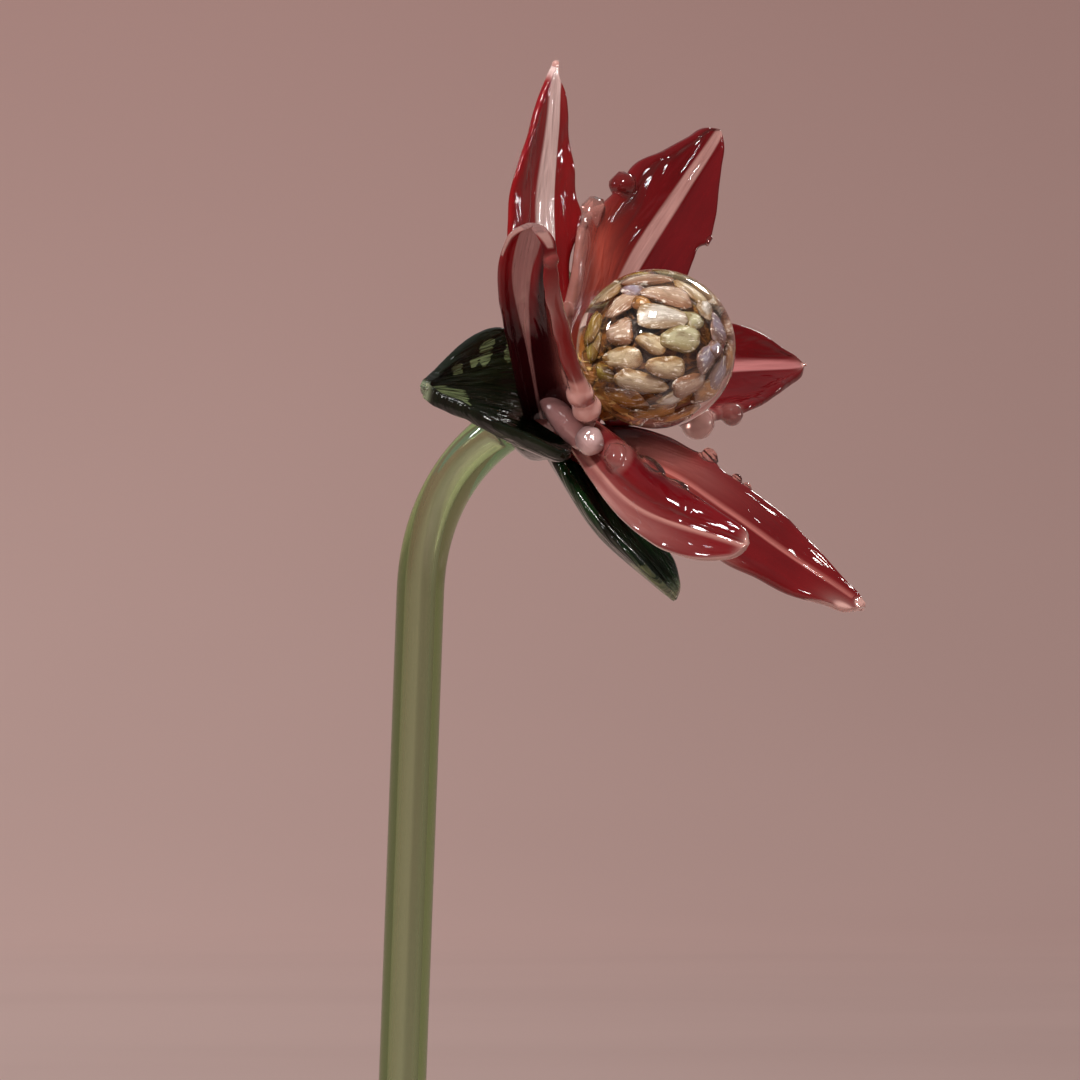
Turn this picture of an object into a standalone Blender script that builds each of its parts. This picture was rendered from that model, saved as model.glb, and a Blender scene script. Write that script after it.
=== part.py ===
"""A glass magnolia standing in a plain bottle vase.

The flower is hot-worked glass: a bored stem that bends over at the top, a gather that carries three
sepals and six petals, and a clear dome over a core laid with small pale chips. The stem stands on the
vase's floor and leans on the inside of its neck. Metres, +Z up, origin at the centre of the vase's foot.
"""

from dataclasses import dataclass
from math import acos, asin, atan2, cos, pi, radians, sin, sqrt

import bmesh
import bpy
from mathutils import Matrix, Vector
from mathutils.geometry import interpolate_bezier

MM = 0.001
GAP = 0.3 * MM  # left between pieces that touch

# Vase, turned about Z
VASE_HEIGHT = 165 * MM
FOOT_RADIUS = 46 * MM
FOOT_CHAMFER = 1.5 * MM
BELLY_RADIUS = 52 * MM
BELLY_HEIGHT = 48 * MM
NECK_RADIUS = 17 * MM
NECK_START = 122 * MM
LIP_FLARE = 3 * MM
WALL = 4 * MM
FLOOR = 10 * MM
FLOOR_FLAT = 14 * MM  # how far the flat floor stays from the wall
FLOOR_CURVE = ((3 * MM, 1.5 * MM), 6 * MM)  # a point of its curve, and where the wall starts
WALL_THINNING = 0.02
LIP_EDGE = 1.5 * MM
LIP_INSIDE = 1.2 * MM
VASE_STEPS = 32

# Stem, in the upright plane that holds it and the flower's axis
STEM_HEADING = radians(-26.4)
STEM_LEAN = 0.0408
STEM_RADIUS = 6 * MM
BORE_RADIUS = 2.7 * MM
BORE_END_WALL = 4 * MM
BEND_START_HEIGHT = 297 * MM
BEND_PULL = (24 * MM, 10 * MM)
STEM_END_STRAIGHT = 2 * MM
BEND_POINTS = 9
STEM_OFF_AXIS = 3 * MM

# Flower, about its own axis
AXIS_RISE = radians(28.66)
BASE_REACH = 50.1 * MM
BASE_HEIGHT = 342.5 * MM
GATHER_BACK = -12 * MM
GATHER_TOP = 12.2 * MM
GATHER_OUTLINE = (
    (8.5, -12.0), (9.4, -10.5), (9.8, -7.0), (9.8, -2.0), (9.6, 3.0), (9.2, 6.0), (7.4, 9.5), (6.4, 12.2),
)
DOME_CENTRE = 31.8 * MM
DOME_RADIUS = 20 * MM
DOME_WALL = 2.6 * MM
DOME_MOUTH = 5.6 * MM
CORE_RADIUS = 12.2 * MM
CORE_NECK = 4.6 * MM

# Chips, laid on the core along a spiral from the tip of the dome backwards
CHIPS = 40
CHIP_COVER = radians(122)
CHIP_HALF = (2.9 * MM, 2.4 * MM, 1.6 * MM)
CHIP_ORBIT = 14.2 * MM
GOLDEN_TURN = pi * (3 - sqrt(5))

HEADING = Vector((cos(STEM_HEADING), sin(STEM_HEADING), 0))
AXIS = (HEADING * cos(AXIS_RISE) + Vector((0, 0, sin(AXIS_RISE)))).normalized()
CROWN = AXIS.cross(Vector((0, 1, 0))).normalized()
BACK = CROWN.cross(AXIS)  # with CROWN and AXIS: BACK x CROWN = AXIS
BASE = HEADING * BASE_REACH + Vector((0, 0, BASE_HEIGHT))


LEVEL = ((0, 0), (1, 0))
FOLD = ((0, 8), (1, 8))


@dataclass(frozen=True)
class Leaf:
    """A petal or a sepal. Millimetres, degrees, and radians for cups.

    Root and tip are azimuth, reach and rise. A table of stations runs from 0 at the root to 1 at the tip.
    """

    name: str
    root: tuple
    tip: tuple
    left: tuple
    right: tuple
    bow: tuple = LEVEL
    sway: tuple = LEVEL
    roll: tuple = LEVEL
    cups: tuple = (0.6, 0.6)
    folds: tuple = (FOLD, FOLD)
    half_thick: float = 1.5


OUTER_RISE = 0.3  # petals 2, 4 and 6 are set just behind 1, 3 and 5
PETALS = (
    Leaf(
        "petal_1", (5, 10, 5), (7, 75, 45),
        left=((0, 6), (0.1, 10), (0.25, 15.5), (0.4, 17.6), (0.65, 14.5), (0.8, 9.5), (0.9, 4.6), (1, 0)),
        right=((0, 6), (0.2, 7.5), (0.35, 8.8), (0.49, 12.9), (0.65, 10), (0.8, 6.8), (0.9, 4.3), (1, 0)),
        bow=((0, 0), (0.5, 3), (1, 0)), roll=((0, -14), (1, -14)), cups=(0.3, 0.4), folds=(LEVEL, LEVEL),
    ),
    Leaf(
        "petal_2", (58, 10, OUTER_RISE), (62.5, 85, 47),
        left=(
            (0, 6), (0.1, 10), (0.2, 15.4), (0.33, 23.2), (0.5, 17.6),
            (0.7, 14.6), (0.8, 10.2), (0.9, 6.4), (1, 0),
        ),
        right=((0, 6), (0.2, 12), (0.4, 14.9), (0.6, 13.2), (0.75, 11.9), (0.9, 6), (1, 0)),
        sway=((0, 0), (0.5, -1), (1, 0)), cups=(0.2, 0.5),
        folds=(((0, 28), (0.3, 22), (0.5, 0), (1, -6)), FOLD),
    ),
    Leaf(
        "petal_3", (115, 10, 5), (110, 67.4, 38),
        left=((0, 6), (0.3, 11.3), (0.55, 13), (0.7, 11.6), (0.8, 9), (0.9, 5), (1, 0)),
        right=((0, 6), (0.1, 10), (0.3, 18), (0.5, 18.6), (0.7, 14.8), (0.8, 10.8), (0.9, 6.2), (1, 0)),
        sway=((0, 0), (0.5, -4), (1, 0)),
    ),
    Leaf(
        "petal_4", (178, 10, OUTER_RISE), (184, 82.5, 46),
        left=(
            (0, 9), (0.1, 12.4), (0.2, 12.4), (0.4, 10), (0.6, 9.4),
            (0.7, 8), (0.8, 5.6), (0.9, 3.2), (1, 0),
        ),
        right=((0, 6), (0.2, 11), (0.4, 12.6), (0.6, 12.4), (0.8, 8.8), (0.9, 6), (1, 0)),
        bow=((0, 0), (0.3, -4.5), (0.5, -3.5), (0.7, -1.8), (1, 0)), roll=((0, 20), (0.4, 32), (1, 48)),
        cups=(-0.3, -0.2),
    ),
    Leaf(
        "petal_5", (236, 10, 5), (224.5, 75, 47.5),
        left=((0, 5), (0.1, 6), (0.3, 8), (0.5, 8.2), (0.7, 7), (0.85, 4.8), (0.95, 3.4), (1, 0)),
        right=((0, 4), (0.1, 4.5), (0.3, 6), (0.5, 7.6), (0.7, 9.4), (0.85, 8.4), (0.95, 5.6), (1, 0)),
        bow=((0, 0), (0.4, 5), (0.6, 5), (1, 0)), roll=((0, 85), (1, 95)), cups=(-1.5, 0.3),
        folds=(((0, 50), (1, 45)), LEVEL),
    ),
    Leaf(
        "petal_6", (272, 10, OUTER_RISE), (305, 72, 42),
        left=(
            (0, 5), (0.05, 12), (0.12, 17), (0.3, 16), (0.5, 13.5),
            (0.7, 11), (0.8, 9.4), (0.9, 7.4), (1, 0),
        ),
        right=((0, 4.5), (0.2, 5), (0.4, 5.2), (0.6, 6), (0.8, 7), (0.9, 6.6), (1, 0)),
        bow=((0, 0), (0.5, 2), (0.8, 0.8), (1, -4)), roll=((0, 50), (1, 60)), cups=(-1.1, -1.1),
    ),
)
SEPALS = (
    Leaf(
        "sepal_1", (300, 10.5, -5), (300, 43, -12),
        left=((0, 21), (0.2, 25), (0.35, 23.6), (0.5, 20), (0.65, 15.2), (0.8, 9.6), (0.9, 5.6), (1, 0)),
        right=(
            (0, 13), (0.1, 17.5), (0.25, 19.2), (0.4, 18.2), (0.55, 15.5),
            (0.7, 11.4), (0.85, 6.2), (1, 0),
        ),
        cups=(0.8, 0.8),
    ),
    Leaf(
        "sepal_2", (205, 10.5, -4.5), (201, 60, 10),
        left=((0, 8), (0.3, 9.2), (0.6, 10.4), (0.8, 8.8), (0.9, 6), (1, 0)),
        right=((0, 7.5), (0.2, 9.4), (0.4, 10), (0.6, 9.4), (0.8, 7.2), (0.9, 5), (1, 0)),
        bow=((0, 0), (0.5, 2.8), (1, 0)), roll=((0, 11), (1, 11)), cups=(0.9, 0.9),
    ),
    Leaf(
        "sepal_3", (50, 10.5, -4.5), (50, 45, 8),
        left=((0, 10), (0.3, 13.5), (0.5, 14), (0.7, 11), (0.85, 6.6), (1, 0)),
        right=((0, 10), (0.3, 13.5), (0.5, 14), (0.7, 11), (0.85, 6.6), (1, 0)),
        cups=(0.7, 0.7),
    ),
)
LEAF_AROUND = 14
LEAF_ALONG = 16
EDGE_FULLNESS = 0.6  # below 1 squares up a leaf's cross-section
FOLD_START = 0.16  # how far out from the midrib a leaf's fold is complete
ROOT_FULLNESS = 0.45  # the share of a leaf's thickness that doesn't thin towards its tip


def finish(name, colour, roughness=0.1, transmission=0.0):
    """A Principled material for one sub-part."""
    material = bpy.data.materials.new(name)
    material.use_nodes = True
    shader = material.node_tree.nodes["Principled BSDF"]
    shader.inputs["Base Color"].default_value = (*colour, 1)
    shader.inputs["Roughness"].default_value = roughness
    shader.inputs["Metallic"].default_value = 0
    shader.inputs["Transmission Weight"].default_value = transmission
    return material


def add_object(name, mesh, collection, material, place=None):
    """Puts a mesh in the scene as one named, smooth-shaded sub-part."""
    mesh.name = name
    mesh.materials.clear()
    mesh.materials.append(material)
    mesh.shade_smooth()
    mesh.set_sharp_from_angle(angle=radians(40))
    piece = bpy.data.objects.new(name, mesh)
    piece.matrix_world = place or Matrix.Identity(4)
    collection.objects.link(piece)
    return piece


def turned(name, profile, steps, collection, material, place=None):
    """Turns (radius, height) points about local Z; the profile runs down the piece's outer side."""
    mesh = bpy.data.meshes.new(name)
    points = [(radius, 0, height) for radius, height in profile]
    mesh.from_pydata(points, [(i, i + 1) for i in range(len(points) - 1)], [])
    piece = add_object(name, mesh, collection, material, place)
    screw = piece.modifiers.new("Turn", "SCREW")
    screw.angle = 2 * pi
    screw.steps = screw.render_steps = steps
    screw.use_merge_vertices = True
    screw.merge_threshold = 0.01 * MM
    screw.use_smooth_shade = True
    return piece


def vase_radius(height):
    """Outer radius of the vase: foot, belly, shoulder, neck and flared lip."""
    if height < BELLY_HEIGHT:
        return FOOT_RADIUS + (BELLY_RADIUS - FOOT_RADIUS) * sin(pi / 2 * height / BELLY_HEIGHT)
    if height < NECK_START:
        along = (height - BELLY_HEIGHT) / (NECK_START - BELLY_HEIGHT)
        return NECK_RADIUS + (BELLY_RADIUS - NECK_RADIUS) * (1 + cos(pi * along)) / 2
    return NECK_RADIUS + LIP_FLARE * ((height - NECK_START) / (VASE_HEIGHT - NECK_START)) ** 2


def vase_profile():
    """From the middle of the floor up the inside, over the lip and down to the middle of the foot."""
    def steps(low, high, count):
        return [low + (high - low) * i / count for i in range(count + 1)]

    (curve_in, curve_up), wall_start = FLOOR_CURVE
    inner_heights = steps(FLOOR + wall_start, VASE_HEIGHT - LIP_EDGE, 13)
    inside = []
    for z in inner_heights:
        radius = vase_radius(z) - WALL - max(0.0, vase_radius(z) - NECK_RADIUS) * WALL_THINNING
        inside.append((min(radius, NECK_RADIUS - WALL) if z >= NECK_START else radius, z))
    floor_edge = inside[0][0]
    outer_heights = steps(FOOT_CHAMFER, VASE_HEIGHT - LIP_EDGE, 14)
    outside = [(vase_radius(z), z) for z in reversed(outer_heights)]
    lip = vase_radius(VASE_HEIGHT)
    return (
        [(0, FLOOR), (floor_edge - FLOOR_FLAT, FLOOR), (floor_edge - curve_in, FLOOR + curve_up)]
        + inside
        + [(NECK_RADIUS - WALL + LIP_INSIDE, VASE_HEIGHT), (lip - LIP_EDGE, VASE_HEIGHT)]
        + outside
        + [(FOOT_RADIUS - FOOT_CHAMFER, 0), (0, 0)]
    )


def stem_line(bottom, top_trim=0.0):
    """Points down the middle of the stem, from the given height to its joint with the gather."""
    rim_reach = NECK_RADIUS - WALL - STEM_RADIUS - GAP

    def straight(height):
        return HEADING * (rim_reach + STEM_LEAN * (height - VASE_HEIGHT)) + Vector((0, 0, height))

    start = straight(BEND_START_HEIGHT)
    upright = (Vector((0, 0, 1)) - AXIS * AXIS.z).normalized()
    end = BASE + AXIS * (GATHER_BACK - GAP - top_trim) + upright * STEM_OFF_AXIS
    joint = end - AXIS * STEM_END_STRAIGHT
    up = (straight(1) - straight(0)).normalized()
    pulls = start + up * BEND_PULL[0], joint - AXIS * BEND_PULL[1]
    bend = interpolate_bezier(start, *pulls, joint, BEND_POINTS)
    return [straight(bottom), straight(bottom + (BEND_START_HEIGHT - bottom) / 2)] + list(bend) + [end]


def tube_mesh(name, points, radius, sides):
    """A round bar along the points, closed at both ends."""
    curve = bpy.data.curves.new(name, "CURVE")
    curve.dimensions = "3D"
    curve.bevel_depth = radius
    curve.bevel_resolution = sides // 2 - 2
    curve.use_fill_caps = True
    spline = curve.splines.new("POLY")
    spline.points.add(len(points) - 1)
    for spot, point in zip(spline.points, points):
        spot.co = (*point, 1)
    holder = bpy.data.objects.new(name, curve)
    bpy.context.scene.collection.objects.link(holder)
    bpy.context.view_layer.update()
    mesh = bpy.data.meshes.new_from_object(holder.evaluated_get(bpy.context.evaluated_depsgraph_get()))
    bpy.data.objects.remove(holder)
    shape = bmesh.new()
    shape.from_mesh(mesh)
    bmesh.ops.remove_doubles(shape, verts=shape.verts, dist=0.001 * MM)
    shape.to_mesh(mesh)
    shape.free()
    return mesh


def build_stem(collection, cutters, material):
    """The stem: a bent bar, bored from its foot to just under the gather."""
    foot = FLOOR + GAP + STEM_RADIUS * STEM_LEAN
    stem = add_object("stem", tube_mesh("stem", stem_line(foot), STEM_RADIUS, 16), collection, material)
    bore_mesh = tube_mesh("stem_bore", stem_line(foot - 4 * MM, BORE_END_WALL), BORE_RADIUS, 10)
    bore = add_object("stem_bore", bore_mesh, cutters, material)
    bore.hide_render = True
    bore.display_type = "WIRE"
    cut = stem.modifiers.new("Bore", "BOOLEAN")
    cut.operation = "DIFFERENCE"
    cut.solver = "EXACT"
    cut.object = bore


def flower_place(distance=0.0):
    """Local Z along the flower's axis, at a distance from its base."""
    turn = Matrix((BACK, CROWN, AXIS)).transposed()
    return Matrix.Translation(BASE + AXIS * distance) @ turn.to_4x4()


def dome_arc(radius, start, end, count):
    """Points on a circle round the dome's centre, by angle from the flower's axis."""
    angles = [start + (end - start) * i / count for i in range(count + 1)]
    return [(radius * sin(a), radius * cos(a)) for a in angles]


def build_centre(collection, materials):
    """The gather, the clear dome and the core."""
    gather = [(r * MM, h * MM) for r, h in reversed(GATHER_OUTLINE)]
    turned("gather", [(0, GATHER_TOP)] + gather + [(0, GATHER_BACK)], 20, collection,
           materials["gather"], flower_place())

    outer_mouth = pi - asin(DOME_MOUTH / DOME_RADIUS)
    inner = DOME_RADIUS - DOME_WALL
    inner_mouth = pi - asin(DOME_MOUTH / inner)
    shell = dome_arc(DOME_RADIUS, 0, outer_mouth, 14) + dome_arc(inner, inner_mouth, 0, 12)
    shell[0] = (0, DOME_RADIUS)
    shell[-1] = (0, inner)
    turned("dome", shell, 24, collection, materials["dome"], flower_place(DOME_CENTRE))

    neck_foot = GATHER_TOP + GAP - DOME_CENTRE
    neck_angle = pi - asin(CORE_NECK / CORE_RADIUS)
    core = dome_arc(CORE_RADIUS, 0, neck_angle, 10) + [(CORE_NECK, neck_foot), (0, neck_foot)]
    core[0] = (0, CORE_RADIUS)
    turned("core", core, 18, collection, materials["core"], flower_place(DOME_CENTRE))


def build_chips(collection, materials):
    """Flattened pale chips round the core, each its own piece."""
    for number in range(CHIPS):
        height = 1 - (number + 0.5) / CHIPS * (1 - cos(CHIP_COVER))
        polar, turn = acos(height), number * GOLDEN_TURN
        outward = Vector((sin(polar) * cos(turn), sin(polar) * sin(turn), cos(polar)))
        down = Vector((cos(polar) * cos(turn), cos(polar) * sin(turn), -sin(polar)))
        facing = Matrix((down, outward.cross(down), outward)).transposed().to_4x4()
        shape = bmesh.new()
        bmesh.ops.create_uvsphere(shape, u_segments=8, v_segments=5, radius=1)
        bmesh.ops.scale(shape, vec=CHIP_HALF, verts=shape.verts)
        mesh = bpy.data.meshes.new("chip")
        shape.to_mesh(mesh)
        shape.free()
        place = flower_place(DOME_CENTRE) @ Matrix.Translation(outward * CHIP_ORBIT) @ facing
        add_object(f"chip_{number + 1:02d}", mesh, collection, materials["chip"], place)


def radial(azimuth):
    """Square to the flower's axis, by azimuth from the crown towards the back."""
    return CROWN * cos(radians(azimuth)) + BACK * sin(radians(azimuth))


def tangential(azimuth):
    """Square to the flower's axis and to the radial direction of that azimuth."""
    return BACK * cos(radians(azimuth)) - CROWN * sin(radians(azimuth))


def read(stations, along):
    """Reads a table of stations as a smooth curve that doesn't overshoot them."""
    count = len(stations)
    pairs = zip(stations, stations[1:])
    slopes = [(after[1] - before[1]) / (after[0] - before[0]) for before, after in pairs]

    def lean(i):
        before, after = slopes[max(0, i - 1)], slopes[min(count - 2, i)]
        return 0.0 if before * after <= 0 else 2 * before * after / (before + after)

    i = max(k for k in range(count - 1) if k == 0 or stations[k][0] <= along)
    (start, low), (end, high) = stations[i], stations[i + 1]
    span = end - start
    t = min(1.0, max(0.0, (along - start) / span))
    return (
        low * (1 + 2 * t) * (1 - t) ** 2 + high * t * t * (3 - 2 * t)
        + span * (lean(i) * t * (1 - t) ** 2 - lean(i + 1) * t * t * (1 - t))
    )


def leaf_spine(leaf, along):
    """A point on the leaf's midrib, in millimetres from the flower's base: 0 at its root, 1 at its tip."""
    root = radial(leaf.root[0]) * leaf.root[1] + AXIS * leaf.root[2]
    tip = radial(leaf.tip[0]) * leaf.tip[1] + AXIS * leaf.tip[2]
    chord = (tip - root).normalized()
    middle = (leaf.root[0] + leaf.tip[0]) / 2
    outward = radial(middle)
    outward = (outward - chord * outward.dot(chord)).normalized()
    point = root.lerp(tip, along) + outward * read(leaf.bow, along)
    return point + tangential(middle) * read(leaf.sway, along)


def leaf_frame(leaf, along):
    """The leaf's side and inward directions at a place along its midrib, with its roll."""
    step = 0.002
    tangent = leaf_spine(leaf, min(1, along + step)) - leaf_spine(leaf, max(0, along - step))
    tangent.normalize()
    side = tangential(leaf.root[0] + (leaf.tip[0] - leaf.root[0]) * along)
    side = (side - tangent * side.dot(tangent)).normalized()
    outward = tangent.cross(side)
    roll = radians(read(leaf.roll, along))
    return side * cos(roll) + outward * sin(roll), side * sin(roll) - outward * cos(roll)


def leaf_point(leaf, along, across, through):
    """A point of the leaf: across runs -1 to 1 over its width, through -1 to 1 over its thickness."""
    side, inward = leaf_frame(leaf, along)
    half = read(leaf.left if across < 0 else leaf.right, along)
    cup = leaf.cups[0] if across < 0 else leaf.cups[1]
    bend = cup * across
    flat = Vector((half * sin(bend) / cup, half * (1 - cos(bend)) / cup))
    fold = radians(read(leaf.folds[0], along)) * -1 if across < 0 else radians(read(leaf.folds[1], along))
    fold *= min(1.0, abs(across) / FOLD_START)
    width = flat.x * cos(fold) - flat.y * sin(fold)
    depth = flat.x * sin(fold) + flat.y * cos(fold)
    thick = leaf.half_thick * (ROOT_FULLNESS + (1 - ROOT_FULLNESS) * sqrt(1 - along)) * through
    bend += fold
    point = leaf_spine(leaf, along) + side * (width - sin(bend) * thick)
    return BASE + (point + inward * (depth + cos(bend) * thick)) * MM


def rounded(value):
    """Pushes a sine or cosine outwards, so that a leaf's section is a slab with round edges."""
    return abs(value) ** EDGE_FULLNESS * (1 if value > 0 else -1)


def build_leaf(leaf, collection, material):
    """A drawn-out blob of glass: a sphere whose poles become the leaf's root and tip."""
    shape = bmesh.new()
    bmesh.ops.create_uvsphere(shape, u_segments=LEAF_AROUND, v_segments=LEAF_ALONG, radius=1)
    for vert in shape.verts:
        flat = Vector((vert.co.x, vert.co.y)).length
        along = atan2(flat, vert.co.z) / pi
        if flat < 0.001:
            vert.co = leaf_point(leaf, round(along), 0, 0)
            continue
        turn = atan2(vert.co.y, vert.co.x)
        vert.co = leaf_point(leaf, along, rounded(cos(turn)), rounded(sin(turn)))
    if shape.calc_volume(signed=True) < 0:
        bmesh.ops.reverse_faces(shape, faces=shape.faces)
    mesh = bpy.data.meshes.new(leaf.name)
    shape.to_mesh(mesh)
    shape.free()
    add_object(leaf.name, mesh, collection, material)


def main():
    """Builds every sub-part into one collection."""
    for old in list(bpy.data.objects):
        bpy.data.objects.remove(old)
    parts = bpy.data.collections.new("glass_magnolia_in_vase")
    cutters = bpy.data.collections.new("cutters")
    for group in (parts, cutters):
        bpy.context.scene.collection.children.link(group)
    materials = {
        "vase": finish("vase_glaze", (0.78, 0.75, 0.70), roughness=0.35),
        "stem": finish("stem_glass", (0.30, 0.33, 0.12), transmission=0.8),
        "gather": finish("gather_glass", (0.10, 0.16, 0.06), transmission=0.3),
        "petal": finish("petal_glass", (0.35, 0.02, 0.03)),
        "sepal": finish("sepal_glass", (0.02, 0.05, 0.02)),
        "dome": finish("dome_glass", (0.95, 0.93, 0.90), roughness=0.02, transmission=1.0),
        "core": finish("core_glass", (0.35, 0.14, 0.03), transmission=0.4),
        "chip": finish("chip_glass", (0.60, 0.50, 0.36), roughness=0.3),
    }
    turned("vase", vase_profile(), VASE_STEPS, parts, materials["vase"])
    build_stem(parts, cutters, materials["stem"])
    build_centre(parts, materials)
    build_chips(parts, materials)
    for petal in PETALS:
        build_leaf(petal, parts, materials["petal"])
    for sepal in SEPALS:
        build_leaf(sepal, parts, materials["sepal"])


if __name__ == "__main__":
    main()
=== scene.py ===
"""The finished look of a glass magnolia that stands in a plain stoneware bottle vase.

The flower is hot-worked glass: a bored green stem that bends over at the top, a gather that carries
three dark green sepals and six red petals with a pale midrib and clear pink edges, and a thick clear
dome over an amber core laid with pale chips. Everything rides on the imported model's one body.
"""

import logging
from dataclasses import dataclass
from enum import Enum
from functools import cached_property
from math import asin, atan2, cos, exp, pi, radians, sin
from typing import Union

import bmesh
import bpy
from mathutils import Matrix, Vector, noise
from mathutils.geometry import interpolate_bezier


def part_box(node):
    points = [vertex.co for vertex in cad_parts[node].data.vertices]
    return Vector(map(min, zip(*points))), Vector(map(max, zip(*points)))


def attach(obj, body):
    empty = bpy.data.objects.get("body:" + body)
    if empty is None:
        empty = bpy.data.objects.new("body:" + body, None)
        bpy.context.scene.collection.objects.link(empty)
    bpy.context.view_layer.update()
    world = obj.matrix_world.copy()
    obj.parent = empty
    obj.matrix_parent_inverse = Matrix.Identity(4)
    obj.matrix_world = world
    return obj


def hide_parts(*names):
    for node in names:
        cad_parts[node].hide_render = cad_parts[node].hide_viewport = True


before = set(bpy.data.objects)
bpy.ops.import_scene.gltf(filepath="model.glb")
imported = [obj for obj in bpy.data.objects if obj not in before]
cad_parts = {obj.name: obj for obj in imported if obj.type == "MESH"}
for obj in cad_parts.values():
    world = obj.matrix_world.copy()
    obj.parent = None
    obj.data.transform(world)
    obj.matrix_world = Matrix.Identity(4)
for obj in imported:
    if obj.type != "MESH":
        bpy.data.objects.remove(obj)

LOG = logging.getLogger("glass_magnolia")
MM = 0.001
BODY = "root"
UP = Vector((0, 0, 1))
GLASS_IOR = 1.5
WELD = 0.002 * MM

Triple = tuple[float, float, float]
Colour = Triple
Stations = tuple[tuple[float, float], ...]

LEVEL: Stations = ((0, 0), (1, 0))
LEAF_LAYERS = ("along", "aside", "clear", "warm", "dark", "milk", "stripe_off", "stripe_half")


def paint(red: float, green: float, blue: float) -> Colour:
    """Turns a colour given in the 0 to 255 steps of a paint chart into linear light.

    Args:
        red: Red step.
        green: Green step.
        blue: Blue step.

    Returns:
        The colour as three linear numbers from 0 to 1.
    """

    def linear(step: float) -> float:
        """One channel as linear light."""
        share = step / 255
        return share / 12.92 if share <= 0.04045 else ((share + 0.055) / 1.055) ** 2.4

    return linear(red), linear(green), linear(blue)


def dim(colour: Colour, share: float) -> Colour:
    """A colour with only that share of its light."""
    return tuple(channel * share for channel in colour)


def ease(low: float, high: float, value: float) -> float:
    """A smooth step from 0 at low to 1 at high."""
    share = min(1.0, max(0.0, (value - low) / (high - low)))
    return share * share * (3 - 2 * share)


def glide(stations: Stations, along: float) -> float:
    """Reads a value between stations in straight lines; there may be hundreds."""
    low, high = 0, len(stations) - 1
    while high - low > 1:
        middle = (low + high) // 2
        low, high = (middle, high) if stations[middle][0] <= along else (low, middle)
    share = (along - stations[low][0]) / (stations[high][0] - stations[low][0])
    return stations[low][1] + (stations[high][1] - stations[low][1]) * min(1, max(0, share))


def read(stations: Stations, along: float) -> float:
    """Reads a smooth curve through stations that are given as (place, value) pairs.

    Args:
        stations: The pairs, by rising place.
        along: Where to read the curve.

    Returns:
        The curve's value there.
    """
    last = len(stations) - 1
    if along <= stations[0][0]:
        return stations[0][1]
    if along >= stations[last][0]:
        return stations[last][1]
    spot = next(i for i in range(last) if along <= stations[i + 1][0])
    (x0, y0), (x1, y1) = stations[spot], stations[spot + 1]
    before, after = stations[max(0, spot - 1)], stations[min(last, spot + 2)]
    width = x1 - x0
    slope0 = (y1 - before[1]) / (x1 - before[0]) * width
    slope1 = (after[1] - y0) / (after[0] - x0) * width
    t = (along - x0) / width
    return (
        y0 * (2 * t**3 - 3 * t**2 + 1)
        + slope0 * (t**3 - 2 * t**2 + t)
        + y1 * (3 * t**2 - 2 * t**3)
        + slope1 * (t**3 - t**2)
    )


# ---------------------------------------------------------------- shader maths


class Value:
    """A number that may change over a surface. Arithmetic on it adds the Math nodes that work it out."""

    def __init__(self, shader: "Shader", socket: bpy.types.NodeSocket) -> None:
        """Wraps one socket of a shader's tree."""
        self.shader = shader
        self.socket = socket

    def _maths(self, operation: str, *terms: "Number") -> "Value":
        """One Math node on the given terms."""
        made = self.shader.node("ShaderNodeMath", {"operation": operation}, dict(enumerate(terms)))
        return Value(self.shader, made.outputs[0])

    def __add__(self, other: "Number") -> "Value":
        """This plus another."""
        return self._maths("ADD", self, other)

    def __mul__(self, other: "Number") -> "Value":
        """This times another."""
        return self._maths("MULTIPLY", self, other)

    def __sub__(self, other: "Number") -> "Value":
        """This less another."""
        return self._maths("SUBTRACT", self, other)

    def __rsub__(self, other: "Number") -> "Value":
        """Another less this."""
        return self._maths("SUBTRACT", other, self)

    def __pow__(self, power: "Number") -> "Value":
        """This to a power."""
        return self._maths("POWER", self, power)

    def most(self, other: "Number") -> "Value":
        """The larger of the two."""
        return self._maths("MAXIMUM", self, other)

    def least(self, other: "Number") -> "Value":
        """The smaller of the two."""
        return self._maths("MINIMUM", self, other)

    def step(self, low: "Number", high: "Number") -> "Value":
        """A smooth step from 0 at low to 1 at high."""
        made = self.shader.node(
            "ShaderNodeMapRange",
            {"interpolation_type": "SMOOTHSTEP"},
            {"Value": self, "From Min": low, "From Max": high},
        )
        return Value(self.shader, made.outputs["Result"])


Number = Union[Value, float, int]


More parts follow.
